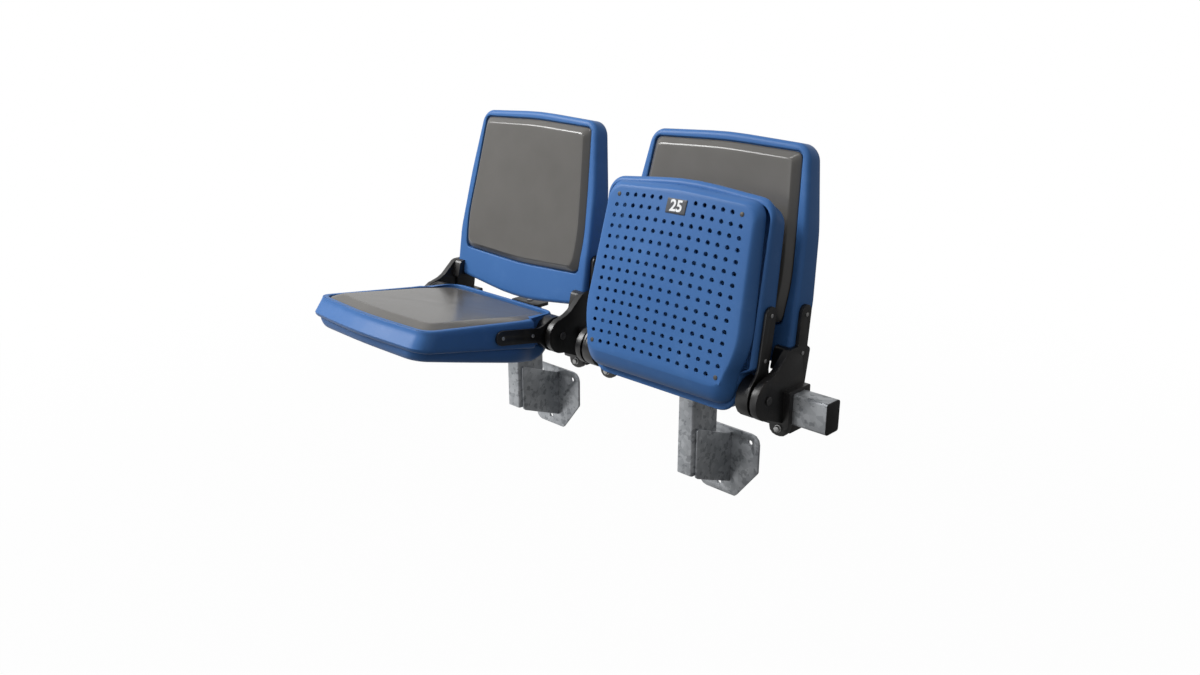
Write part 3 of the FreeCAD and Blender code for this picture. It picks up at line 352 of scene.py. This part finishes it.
for seat in SEATS:
    dressed(f"{seat}_return_spring", f"{seat}_coil_spring", 0.0004, *dark, seat)
    for side in SIDES:
        word = f"{seat}_{side}"
        dressed(f"{word}_bracket", f"{word}_casting", 0.0032, *black, "frame", ROUND_STEPS)
        dressed(f"{word}_clamp_jaw", f"{word}_jaw", 0.001, *black, "frame")
        dressed(f"{word}_hinge_pin", f"{word}_pin", 0.0006, *dark, "frame")
        dressed(f"{word}_arm", f"{word}_hinge_arm", 0.0024, *black, seat, ROUND_STEPS)
        bush = (f"{word}_bush", f"{word}_hinge_bush", 0.0003)
        dressed(*bush, nylon.material, "bush_plastic", seat)

# Backrest shells and rear covers
# Each back is a blue polypropylene moulding with a recess for its cushion, a rounded rim
# and a hollow rear, which a moulded panel closes. Rivets hold it between the brackets.

SEAT_X = {"left_seat": -270.3, "right_seat": 254.7}
BACK_LEAN = math.radians(-10.8)
BACK_HIGH = 391.0
BACK_THICK = 50.0
BACK_HIP_HALF = 216
BACK_ROUND = 9
BACK_RAYS = 200
TURN_WEIGHT = 45


def rounded(corners):
    """A closed line through corners (x, y, radius), with each corner turned in small steps."""
    line = []
    for number, (x, y, radius) in enumerate(corners):
        point = Vector((x, y))
        behind = (Vector(corners[number - 1][:2]) - point).normalized()
        ahead = (Vector(corners[(number + 1) % len(corners)][:2]) - point).normalized()
        if not radius:
            line.append(point)
            continue
        half = behind.angle(ahead) / 2
        centre = point + (behind + ahead).normalized() * (radius / math.sin(half))
        start = point + behind * (radius / math.tan(half)) - centre
        turn = math.pi - 2 * half
        if behind.x * ahead.y - behind.y * ahead.x > 0:
            turn = -turn
        steps = max(2, round(abs(turn) / math.radians(3)))
        for step in range(steps + 1):
            line.append(centre + Matrix.Rotation(turn * step / steps, 2) @ start)
    return line


def spread(line, count, turn_weight):
    """Places along a closed line, closer together where it turns."""
    weights = []
    for number, point in enumerate(line):
        after = line[(number + 1) % len(line)]
        run = after - point
        back = point - line[number - 1]
        turn = run.angle(back, 0.0) if run.length > 1e-6 and back.length > 1e-6 else 0.0
        weights.append(run.length + turn_weight * turn)
    total = sum(weights)
    places = []
    number = 0
    passed = 0.0
    for step in range(count):
        goal = total * step / count
        while passed + weights[number] < goal:
            passed += weights[number]
            number += 1
        share = (goal - passed) / weights[number]
        places.append(line[number].lerp(line[(number + 1) % len(line)], share))
    return places


def crossing(line, centre, rays):
    """Where each ray from the centre leaves a closed line."""
    found = []
    for ray in rays:
        furthest = None
        for number, point in enumerate(line):
            run = line[(number + 1) % len(line)] - point
            across = ray.x * run.y - ray.y * run.x
            if abs(across) < 1e-9:
                continue
            away = point - centre
            distance = (away.x * run.y - away.y * run.x) / across
            share = (away.x * ray.y - away.y * ray.x) / across
            if distance > 0 and -1e-6 <= share <= 1 + 1e-6:
                furthest = max(furthest or 0.0, distance)
        found.append(centre + ray * furthest)
    return found


def corner_key(point):
    """A corner's place as a key that looks it up again."""
    return tuple(round(value, 7) for value in point)


def first_ring(name, ring):
    """Starts a piece from a circle whose corners are moved to a ring of places, in millimetres."""
    nothing_selected()
    bpy.ops.mesh.primitive_circle_add(vertices=len(ring), radius=0.1)
    piece = bpy.context.object
    piece.name = name
    places = {}
    for number, vertex in enumerate(piece.data.vertices):
        vertex.co = ring[number] * 0.001
        places[corner_key(vertex.co)] = number
    bpy.ops.object.mode_set(mode="EDIT")
    bpy.ops.mesh.select_all(action="SELECT")
    bpy.ops.object.mode_set(mode="OBJECT")
    return piece, places


def pull(piece, places, ring):
    """Extrudes the selected loop, and moves each new corner to its place in the next ring."""
    bpy.ops.object.mode_set(mode="EDIT")
    bpy.ops.mesh.extrude_region_move()
    bpy.ops.object.mode_set(mode="OBJECT")
    moved = {}
    for vertex in piece.data.vertices:
        if vertex.select:
            number = places[corner_key(vertex.co)]
            vertex.co = ring[number] * 0.001
            moved[corner_key(vertex.co)] = number
    return moved


def close_end():
    """Fills the selected loop."""
    bpy.ops.object.mode_set(mode="EDIT")
    bpy.ops.mesh.edge_face_add()
    bpy.ops.object.mode_set(mode="OBJECT")


def ringed(name, rings, fill_first=True):
    """A skin through rings of places, closed over the last and mostly over the first."""
    piece, places = first_ring(name, rings[0])
    if fill_first:
        close_end()
    for ring in rings[1:]:
        places = pull(piece, places, ring)
    close_end()
    return piece


def faced_out(piece, angle=30):
    """Faces outwards and smooth, with edges sharper than the angle kept."""
    only_selected(piece)
    bpy.ops.object.mode_set(mode="EDIT")
    bpy.ops.mesh.select_all(action="SELECT")
    bpy.ops.mesh.remove_doubles(threshold=1e-6)
    bpy.ops.mesh.normals_make_consistent(inside=False)
    bpy.ops.object.mode_set(mode="OBJECT")
    bpy.ops.object.shade_smooth_by_angle(angle=math.radians(angle))


def ease(stations, at):
    """A value between stations (place, value)."""
    for (low, first), (high, second) in zip(stations, stations[1:]):
        if at <= high:
            share = min(max((at - low) / (high - low), 0.0), 1.0)
            return first + (second - first) * share
    return stations[-1][1]


def mirrored(corners):
    return [(-x, y, radius) for x, y, radius in reversed(corners)]


def back_line(inset):
    """The back seen square on: wide at the hips, narrower at the shoulders."""
    hip = BACK_HIP_HALF - inset
    waist = 207 - inset
    shoulder = 183.5 - inset
    corners = [
        (0, -26 + inset, 700), (hip, 2 + inset, max(12 - inset, 3)),
        (hip, 0.3 * BACK_HIGH, 200), (waist, 0.62 * BACK_HIGH, 400),
        (shoulder, BACK_HIGH - inset, 34 - inset), (0, BACK_HIGH + 9 - inset, 900),
    ]
    return rounded(corners + mirrored(corners[1:-1]))


def back_recess_line(inset):
    """The recess for the back cushion, seen square on."""
    half = 190 - inset
    turned = min(max(13 - 0.35 * inset, 6), 15)
    low = 66 + inset
    high = 378 - inset
    corners = [
        (0, low - 0.05 * half, 700), (half, low, turned), (196 - inset, 144 + 0.5 * inset, 300),
        (172 - inset, high, turned), (0, high + 0.03 * half, 900),
    ]
    return rounded(corners + mirrored(corners[1:-1]))


BACK_CENTRE = Vector((0, 205))
back_rays = [place - BACK_CENTRE for place in spread(back_line(0), BACK_RAYS, TURN_WEIGHT)]


def back_front(x, up):
    """How far behind the front plane the front face lies: its sides wing forward."""
    wing = ease(((-0.12, 0.4), (0.26, 1.0), (0.6, 0.35), (1.06, 0.0)), up / BACK_HIGH)
    return -8.0 * wing * (x / BACK_HIP_HALF) ** 2


def back_rear(up):
    """How far behind the front plane the rear lies: the back thins towards its top."""
    share = ease(((-0.12, 1.0), (0.26, 0.96), (0.6, 0.87), (1.06, 0.7)), up / BACK_HIGH)
    return BACK_THICK * share


def back_ring(line, depth, from_rear=False, flat=False):
    """A ring on a line of the back, at a depth behind its front face or before its rear."""
    ring = []
    for place in crossing(line, BACK_CENTRE, back_rays):
        if flat:
            at = depth
        elif from_rear:
            at = back_rear(place.y) + depth
        else:
            at = back_front(place.x, place.y) + depth
        ring.append(Vector((place.x, at, place.y)))
    return ring


def between(first, second, share):
    """A ring part of the way from one to another."""
    return [a.lerp(b, share) for a, b in zip(first, second)]


def on_front(ring, depth):
    """A ring moved to a depth behind the back's front face."""
    return [Vector((p.x, back_front(p.x, p.z) + depth, p.z)) for p in ring]


def rounding(radius, steps):
    """(inset, depth) along a quarter circle from the face to the side."""
    turns = [math.pi / 2 * step / steps for step in range(steps + 1)]
    return [(radius * (1 - math.sin(turn)), radius * (1 - math.cos(turn))) for turn in turns]


shell_rings = [back_ring(back_recess_line(0), 6.0, flat=True), back_ring(back_recess_line(0), 1.6)]
shell_rings += [back_ring(back_recess_line(-0.5), 0.7), back_ring(back_recess_line(-1.6), 0.1)]
lip = back_ring(back_recess_line(-3), 0.0)
brow = back_ring(back_line(BACK_ROUND), 0.0)
for share in (0.0, 0.33, 0.66):
    shell_rings.append(on_front(between(lip, brow, share), 0.0))
for inset, depth in rounding(BACK_ROUND, 6):
    shell_rings.append(back_ring(back_line(inset), depth))
shell_rings.append(between(shell_rings[-1], back_ring(back_line(0), -3, True), 0.5))
BACK_REAR_EDGE = (
    (0.0, -3.0), (0.4, -1.4), (1.4, -0.4), (3.0, 0.0), (4.4, 0.0), (4.6, -1.5), (5, -16),
)
for inset, depth in BACK_REAR_EDGE:
    shell_rings.append(back_ring(back_line(inset), depth, from_rear=True))
back_shell = ringed("back_shell", shell_rings)
faced_out(back_shell)

blue = Finish("blue_polypropylene", Specular_IOR_Level=0.16)
cast = blue.noise(5.0, 2.0)
speckle = blue.noise(420.0, 2.0, 0.6)
rub = blue.noise(22.0, 4.0, 0.65)
deep = blue.blend(linear(57, 99, 156), linear(68, 112, 169), cast)
rubbed = blue.ramp(rub, 0.5, 0.85) * 0.35
blue.set("Base Color", blue.blend(deep, linear(84, 124, 178), rubbed))
blue.set("Roughness", 0.3 + 0.12 * rub + 0.05 * speckle)
blue.bump(speckle * 0.5 + blue.noise(1500.0, 1.0) * 0.5, 0.1, 0.0003)

REAR_PANEL_PROFILE = (
    (4.9, -14), (4.9, -3), (5.3, -1.9), (6.4, -1.2), (9, -0.9),
    (30, -0.7), (34, -1.4), (38, -2.6), (44, -3.0), (90, -3.0),
)
rear_rings = []
for inset, depth in REAR_PANEL_PROFILE:
    rear_rings.append(back_ring(back_line(inset), depth, from_rear=True))
rear_panel = ringed("rear_panel", rear_rings, fill_first=False)
faced_out(rear_panel)


def placed(piece, name, place, finish, slot, body, nodes):
    """A copy of a piece with its own mesh, moved to its place and dressed."""
    copy = piece.copy()
    copy.data = piece.data.copy()
    copy.name = name
    bpy.context.scene.collection.objects.link(copy)
    copy.data.transform(place)
    copy.data.materials.clear()
    copy.data.materials.append(finish)
    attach(copy, body)
    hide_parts(*nodes)
    return copy


def discard(*pieces):
    """Takes away the pieces that were only copied from."""
    for piece in pieces:
        bpy.data.objects.remove(piece, do_unlink=True)


def back_place(seat):
    """From a back's own leaning frame to the row."""
    turn = Matrix.Rotation(BACK_LEAN, 4, "X")
    return Matrix.Translation((SEAT_X[seat] * 0.001, -0.1197, 0.24)) @ turn


moulded = (blue.material, "seat_plastic")
for seat in SEATS:
    at = back_place(seat)
    shell = f"{seat}_backrest_shell"
    rear_cover = f"{seat}_backrest_rear_cover"
    placed(back_shell, f"{seat}_back_moulding", at, *moulded, "frame", [shell])
    placed(rear_panel, f"{seat}_back_panel", at, *moulded, "frame", [rear_cover])
discard(back_shell, rear_panel)

# Cushions
# Moulded foam in dark grey vinyl, with a crisp bevel all round. Each cushion is glued into
# its recess, and its face swells a little over the foam.

SWELL_PRESSURE = 4.0
SWELL_FRAMES = 20


def plumped(name, rings, held_rings, cap):
    """A foam cushion: a skin whose face swells by the cap at most inside its held rings."""
    rings = [ring[::2] for ring in rings]
    cushion = ringed(name, rings)
    faced_out(cushion, 60)
    start = [vertex.co.copy() for vertex in cushion.data.vertices]
    held = cushion.vertex_groups.new(name="held")
    held.add(list(range(held_rings * len(rings[0]))), 1.0, "REPLACE")
    cloth = cushion.modifiers.new("swelling", "CLOTH")
    cloth.settings.use_pressure = True
    cloth.settings.uniform_pressure_force = SWELL_PRESSURE
    cloth.settings.vertex_group_mass = "held"
    cloth.settings.effector_weights.gravity = 0.0
    cloth.point_cache.frame_end = SWELL_FRAMES
    for number in range(1, SWELL_FRAMES + 1):
        bpy.context.scene.frame_set(number)
    swollen = cushion.evaluated_get(bpy.context.evaluated_depsgraph_get()).data
    ends = [vertex.co.copy() for vertex in swollen.vertices]
    cushion.modifiers.remove(cloth)
    bpy.context.scene.frame_set(1)
    furthest = max((after - before).length for before, after in zip(start, ends))
    share = min(1.0, cap / furthest) if furthest else 0.0
    for vertex, before, after in zip(cushion.data.vertices, start, ends):
        vertex.co = before.lerp(after, share)
    cushion.vertex_groups.remove(held)
    finer = cushion.modifiers.new("finer", "SUBSURF")
    finer.levels = finer.render_levels = 1
    only_selected(cushion)
    bpy.ops.object.modifier_apply(modifier="finer")
    bpy.ops.object.shade_smooth()
    return cushion


def towards_middle(ring, share):
    """A smaller ring inside another."""
    middle = sum(ring, Vector()) / len(ring)
    return [place.lerp(middle, share) for place in ring]


vinyl = Finish("dark_vinyl", Specular_IOR_Level=0.5)
pores = vinyl.node(
    "ShaderNodeTexVoronoi", "Distance", {"feature": "DISTANCE_TO_EDGE"},
    Vector=vinyl.place, Scale=520.0,
)
patches = vinyl.noise(14.0, 3.0)
vinyl.set("Base Color", vinyl.blend(linear(90, 88, 85), linear(100, 98, 95), patches))
vinyl.set("Roughness", 0.19 + 0.06 * patches)
vinyl.bump(vinyl.ramp(pores, 0.0, 0.12) * 0.7 + vinyl.noise(900.0) * 0.3, 0.05, 0.0002)
covered = (vinyl.material, "cushion_vinyl")

# Inset and rise of each ring, from the foot in the recess over the bevel to the face.
PAD_PROFILE = (
    (2.0, -5.6), (1.9, -4.6), (2.2, -3.4), (3.4, -2.0), (8.5, 2.8),
    (13.6, 7.2), (15, 8.1), (17, 8.5), (20.5, 8.6), (34, 8.9),
)
PAD_SWELL = 0.0007
pad_rings = []
for inset, rise in PAD_PROFILE:
    pad_rings.append(on_front(back_ring(back_recess_line(inset), 0.0), -rise))
pad_edge = pad_rings[-1]
for share, rise in ((0.22, 9.2), (0.44, 9.6), (0.64, 9.8), (0.82, 9.9)):
    pad_rings.append(on_front(towards_middle(pad_edge, share), -rise))
back_cushion = plumped("back_cushion", pad_rings, len(PAD_PROFILE) - 1, PAD_SWELL)
for seat in SEATS:
    pad = f"{seat}_backrest_pad"
    at = back_place(seat)
    piece = placed(back_cushion, f"{seat}_back_cushion", at, *covered, "frame", [pad])
discard(back_cushion)

# Seat shells
# Each seat tips up on two hinges. Its top is a blue moulding with a recess for the cushion
# and a rounded rim; it narrows at the rear, between the hinge hubs.

HINGE = Vector((0, -0.1905, 0.1925))
TIPPED = math.radians(-89.5)
PAN_RAYS = 220
PAN_CENTRE = Vector((0, -150))
PAN_HALF = 200
PAN_FRONT_HALF = 195
PAN_NECK_HALF = 176
PAN_EDGE_FRONT = 352.5
FRONT_BOW = 9.5


def pan_line(inset, front, rear):
    """The pan seen from above, on a sloping plane."""
    half = PAN_HALF - inset
    front_half = PAN_FRONT_HALF - inset
    neck = PAN_NECK_HALF - inset
    step = 43 + 0.4 * inset
    corners = [
        (0, -front - FRONT_BOW * front_half / 108, 741),
        (front_half, -front, max(36 - inset, 12)),
        (half, -step - 13, 8), (neck, -step, 6), (neck, -rear, 34),
    ]
    return rounded(corners + mirrored(corners[1:]))


def cushion_line(inset):
    """The recess for the seat cushion."""
    rim_inset = 11 + inset
    half = 195 - rim_inset
    front_half = 190 - rim_inset
    neck = PAN_NECK_HALF - rim_inset
    front = -329 + rim_inset
    rear = 34 - rim_inset
    corners = [
        (0, front - FRONT_BOW * front_half / 108, 700),
        (front_half, front, max(36 - rim_inset, 14)),
        (half, -73 - 0.6 * inset, 90), (neck, rear, 30),
    ]
    middle = (0, rear + 4 * neck / PAN_NECK_HALF, 900)
    return rounded(corners + [middle] + mirrored(corners[1:]))


pan_outline = spread(pan_line(0, 340, -34), PAN_RAYS, TURN_WEIGHT)
pan_rays = [place - PAN_CENTRE for place in pan_outline]


def sloped(line, up, slope):
    """A ring on a plane that climbs towards the front, from its height at the hinge."""
    ring = []
    for place in crossing(line, PAN_CENTRE, pan_rays):
        ring.append(Vector((place.x, place.y * math.cos(slope), up - place.y * math.sin(slope))))
    return ring


RIM_SLOPE = math.radians(7.4)
SPLIT_SLOPE = math.radians(11.0)
RIM_UP = 33


def pan_side(share, inset):
    """A ring down the pan's side: 0 at the brow, 1 at the edge."""
    front = 331 + (PAN_EDGE_FRONT - 331) * share
    rear = -34 + 5 * share
    up = 25 - 48 * share
    slope = RIM_SLOPE + (SPLIT_SLOPE - RIM_SLOPE) * share
    return sloped(pan_line(inset, front, rear), up, slope)


REAR_CURL = 4.5


def curled(ring):
    """Lifts the rear of a ring a little, where the seat turns up behind the cushion."""
    for place in ring:
        rise = min(max((place.y + 90) / 110, 0.0), 1.0)
        place.z += REAR_CURL * rise * rise * (3 - 2 * rise)
    return ring


RECESS_EDGE = ((0, 31.4), (-0.5, 32.3), (-1.6, 32.9), (-3, RIM_UP))
RIM_EDGE = ((6.2, 32.5), (4.4, 31.4), (3.0, 29.8), (2.0, 27.7))
UNDER_EDGE = ((5.8, -20, -31.4), (6.3, -16, -30), (6.6, -14, -12))
pan_rings = [sloped(cushion_line(0), 27, RIM_SLOPE)]
for inset, up in RECESS_EDGE:
    pan_rings.append(curled(sloped(cushion_line(inset), up, RIM_SLOPE)))
pan_rings.append(curled(sloped(pan_line(8.5, 329, -33), RIM_UP, RIM_SLOPE)))
for inset, up in RIM_EDGE:
    line = pan_line(inset, 330.5 - 0.4 * inset, -34)
    pan_rings.append(curled(sloped(line, up, RIM_SLOPE)))
for share in (0.1, 0.25, 0.4, 0.6, 0.8, 1.0):
    pan_rings.append(pan_side(share, 1.4 * (1 - share) ** 1.5))
for degrees in (22, 45, 68, 90):
    turn = math.radians(degrees)
    inset = 5.2 * (1 - math.cos(turn))
    line = pan_line(inset, PAN_EDGE_FRONT - 1.3 * inset, -31 + 0.5 * inset)
    pan_rings.append(sloped(line, -23 - 8.6 * math.sin(turn), SPLIT_SLOPE))
for inset, rear, up in UNDER_EDGE:
    pan_rings.append(sloped(pan_line(inset, 343, rear), up, SPLIT_SLOPE))
pan_shell = ringed("pan_shell", pan_rings)
faced_out(pan_shell)


def pan_place(seat):
    """From a seat's own frame at its hinge to the row; the right seat is tipped up."""
    place = Matrix.Translation(HINGE + Vector((SEAT_X[seat] * 0.001, 0, 0)))
    return place @ Matrix.Rotation(TIPPED, 4, "X") if seat == "right_seat" else place


for seat in SEATS:
    placed(pan_shell, f"{seat}_moulding", pan_place(seat), *moulded, seat, [f"{seat}_shell"])
discard(pan_shell)


def seat_pad_ring(inset, rise):
    """A ring of the seat cushion, proud at the front and sinking to the rim at the rear."""
    ring = sloped(cushion_line(inset), RIM_UP, RIM_SLOPE)
    for place in ring:
        place.z += rise * ease(((-300, 1.0), (20, 0.1)), place.y) if rise > 0 else rise
    return ring


SEAT_PAD_PROFILE = (
    (2.0, -5.6), (1.9, -4.4), (2.3, -3.0), (4.2, -1.8), (14, 2.6),
    (21.5, 6.1), (23.8, 6.9), (26.5, 7.3), (31, 7.4), (44, 7.6),
)
SEAT_PAD_SWELL = 0.0005
seat_pad_rings = [seat_pad_ring(inset, rise) for inset, rise in SEAT_PAD_PROFILE]
seat_pad_edge = seat_pad_rings[-1]
for share in (0.22, 0.44, 0.64, 0.82):
    seat_pad_rings.append(towards_middle(seat_pad_edge, share))
seat_held = len(SEAT_PAD_PROFILE) - 1
seat_cushion = plumped("seat_cushion", seat_pad_rings, seat_held, SEAT_PAD_SWELL)
for seat in SEATS:
    at = pan_place(seat)
    piece = placed(seat_cushion, f"{seat}_cushion", at, *covered, seat, [f"{seat}_pad"])
discard(seat_cushion)

# Perforated covers
# A blue tray closes the underside of each seat. Its face bulges a little and is pierced by
# fifteen rows of up to fifteen round holes. A dark screw stands in each corner of the grid,
# and a small plate with raised digits sits among the front rows.

ROWS = 15
GRID_MIDDLE = (ROWS - 1) / 2
HOLE_SIDES = 16
HOLE_RADIUS = 0.222
SINK_SCALE = 20
PLATE_WIDE = 46
PLATE_LONG = 27
PLATE_FRONT = 326.5
SPLIT_UP = -28.0
COVER_UP = -71.3
COVER_SLOPE = math.radians(14.2)
COVER_CENTRE = Vector((0, -187))
CROWN = 8.0


def grid_place(column, row):
    """A place of the hole grid on the cover's sloping plane; whole numbers are hole centres."""
    share = row / (ROWS - 1)
    half = 144.5 + 7.7 * share + 20.0 * share * (1 - share)
    across = 2 * column / (ROWS - 1) - 1
    return Vector((across * half, -(331.2 - 20.56 * row + 6.0 * (1 - across ** 2))))


def cover_line(drawn, share):
    """The cover's outline at a level, 0 at its rim and 1 at its face."""
    level = math.cos(SPLIT_SLOPE + (COVER_SLOPE - SPLIT_SLOPE) * share)
    front = (343 - 0.55 * drawn) / level
    rear = (-15 + 40 * share ** 2.7) / level
    corners = [
        (0, -front - 8.1, 609), (179 - drawn, -front, 32), (195 - drawn, -96, 170),
        (176 - 0.7 * drawn, -44 - 0.8 * drawn, 70), (174 - drawn, -rear, 30 - 0.2 * drawn),
    ]
    return rounded(corners + mirrored(corners[1:]))


def cover_point(place, up, slope, bulge=0.0):
    """A place on a level's sloping plane, pushed down by the bulge."""
    return Vector((place.x, place.y * math.cos(slope), up - place.y * math.sin(slope) - bulge))


def bulge_at(place):
    """How far the face stands below its plane."""
    across = place.x / 182
    along = (place.y + 187) / 172
    return CROWN * max(0.0, 1 - across ** 2) * max(0.0, 1 - along ** 2)


nothing_selected()
bpy.ops.mesh.primitive_circle_add(vertices=HOLE_SIDES, radius=HOLE_RADIUS)
cover = bpy.context.object
cover.name = "cover"
bpy.ops.object.mode_set(mode="EDIT")
bpy.ops.mesh.select_all(action="SELECT")
bpy.ops.mesh.extrude_region_move()
bpy.ops.object.mode_set(mode="OBJECT")
for vertex in cover.data.vertices:
    if vertex.select:
        reach = 0.5 / max(abs(vertex.co.x), abs(vertex.co.y))
        vertex.co = vertex.co * reach
bpy.ops.object.mode_set(mode="EDIT")
bpy.ops.mesh.select_all(action="INVERT")
for shrink, sink in ((0.93, 0.02), (0.97, 0.13)):
    bpy.ops.mesh.extrude_region_move(TRANSFORM_OT_translate={"value": (0, 0, sink)})
    bpy.ops.transform.resize(value=(shrink, shrink, 1), center_override=(0, 0, 0))
bpy.ops.object.mode_set(mode="OBJECT")
for axis, offset in (("columns", (1, 0, 0)), ("rows", (0, 1, 0))):
    repeat = cover.modifiers.new(axis, "ARRAY")
    repeat.count = ROWS
    repeat.use_relative_offset = False
    repeat.use_constant_offset = True
    repeat.constant_offset_displace = offset
    repeat.use_merge_vertices = True
    repeat.merge_threshold = 0.001
    bpy.ops.object.modifier_apply(modifier=axis)


def without_hole(column, row):
    """True under the number plate, and at the four corner screws."""
    place = grid_place(column, row)
    ends = (0, ROWS - 1)
    at_screw = column in ends and row in ends
    return at_screw or (abs(place.x) < 30.5 and abs(place.y + PLATE_FRONT) < 18.5)


def solid_at(co):
    """True for a corner of the pattern whose nearest hole is left out."""
    return without_hole(round(co.x), round(co.y))


def near_hole(co):
    return math.hypot(co.x - round(co.x), co.y - round(co.y)) < 0.25


def at_border(co):
    reach = max(abs(co.x - GRID_MIDDLE), abs(co.y - GRID_MIDDLE))
    return reach > ROWS / 2 - 0.001


def choose(piece, wanted):
    """Selects the corners that the test wants."""
    only_selected(piece)
    for polygon in piece.data.polygons:
        polygon.select = False
    for edge in piece.data.edges:
        edge.select = False
    for vertex in piece.data.vertices:
        vertex.select = wanted(vertex.co)


choose(cover, lambda co: co.z > 0.01 and solid_at(co))
bpy.ops.object.mode_set(mode="EDIT")
bpy.ops.mesh.delete(type="VERT")
bpy.ops.object.mode_set(mode="OBJECT")
choose(cover, lambda co: near_hole(co) and solid_at(co))
bpy.ops.object.mode_set(mode="EDIT")
bpy.ops.mesh.fill_holes(sides=HOLE_SIDES)
bpy.ops.object.mode_set(mode="OBJECT")

choose(cover, at_border)
cover_rays = []
places = {}
for vertex in cover.data.vertices:
    flat = grid_place(vertex.co.x, vertex.co.y)
    up = COVER_UP + vertex.co.z * SINK_SCALE
    vertex.co = cover_point(flat, up, COVER_SLOPE, bulge_at(flat)) * 0.001
    if vertex.select:
        places[corner_key(vertex.co)] = len(cover_rays)
        cover_rays.append(flat - COVER_CENTRE)


def cover_ring(drawn, share, bulge=0.0):
    """A ring of the cover's side, with its share of the face's bulge."""
    up = SPLIT_UP + (COVER_UP - SPLIT_UP) * share
    slope = SPLIT_SLOPE + (COVER_SLOPE - SPLIT_SLOPE) * share
    line = crossing(cover_line(drawn, max(share, 0.0)), COVER_CENTRE, cover_rays)
    return [cover_point(place, up, slope, bulge * bulge_at(place)) for place in line]


COVER_ROUND = 14
cover_rings = []
for degrees in (90, 80, 70, 60, 48, 36, 24, 13):
    turn = math.radians(degrees)
    drawn = COVER_ROUND * (1 - math.cos(turn))
    cover_rings.append(cover_ring(drawn, math.sin(turn), math.sin(turn) ** 8))
for drawn, share in ((0.2, 0.15), (1.0, 0.1), (3.2, 0.08), (5.5, -0.1)):
    cover_rings.append(cover_ring(drawn, share))
for ring in cover_rings:
    places = pull(cover, places, ring)
faced_out(cover)

plate = Finish("engraved_plate", Base_Color=linear(38, 42, 50))
plate.set("Roughness", 0.4 + 0.2 * plate.noise(120.0))
digits_paint = Finish("white_digits", Base_Color=linear(224, 226, 228))
digits_paint.set("Roughness", 0.45 + 0.2 * digits_paint.noise(200.0))


def on_cover(x, y, proud):
    """A place on the cover's bulging face, standing proud of it."""
    flat = Vector((x, y))
    return cover_point(flat, COVER_UP, COVER_SLOPE, bulge_at(flat) + proud) * 0.001


nothing_selected()
bpy.ops.mesh.primitive_grid_add(x_subdivisions=14, y_subdivisions=8, size=1)
plate_blank = bpy.context.object
for vertex in plate_blank.data.vertices:
    x = vertex.co.x * PLATE_WIDE
    y = -PLATE_FRONT - vertex.co.y * PLATE_LONG
    vertex.co = on_cover(x, y, 1.2)
thick = plate_blank.modifiers.new("thick", "SOLIDIFY")
thick.thickness = 0.0018
thick.offset = -1
bpy.ops.object.modifier_apply(modifier="thick")
eased = plate_blank.modifiers.new("edges", "BEVEL")
eased.width = 0.0005
eased.segments = 2
eased.angle_limit = math.radians(50)
bpy.ops.object.modifier_apply(modifier="edges")
faced_out(plate_blank)


def number_on_plate(number):
    """The seat's number as a thin raised shape on its plate."""
    nothing_selected()
    bpy.ops.object.text_add()
    digits = bpy.context.object
    digits.data.body = number
    digits.data.size = 29
    digits.data.align_x = "CENTER"
    digits.data.align_y = "CENTER"
    digits.data.offset = 0.8
    digits.data.extrude = 0.1
    bpy.ops.object.convert(target="MESH")
    for vertex in digits.data.vertices:
        x, y, up = vertex.co
        vertex.co = on_cover(x, -PLATE_FRONT - y, 1.25 + up)
    return digits


screw = Finish("cover_screw_steel", Metallic=0.4, Roughness=0.5)
screw.set("Base Color", screw.blend(linear(56, 54, 50), linear(78, 74, 69), screw.noise(300.0)))
for seat, number in (("left_seat", "24"), ("right_seat", "25")):
    at = pan_place(seat)
    placed(cover, f"{seat}_tray", at, *moulded, seat, [f"{seat}_cover"])
    engraved = (plate.material, "plate_plastic", seat)
    placed(plate_blank, f"{seat}_plate", at, *engraved, [f"{seat}_number_plate"])
    digits = number_on_plate(number)
    placed(digits, f"{seat}_digits", at, digits_paint.material, "plate_plastic", seat, [])
    discard(digits)
    screws = (f"{seat}_cover_screws", f"{seat}_tray_screws", 0.0008)
    dressed(*screws, screw.material, "zinc_steel", seat)
discard(cover, plate_blank)
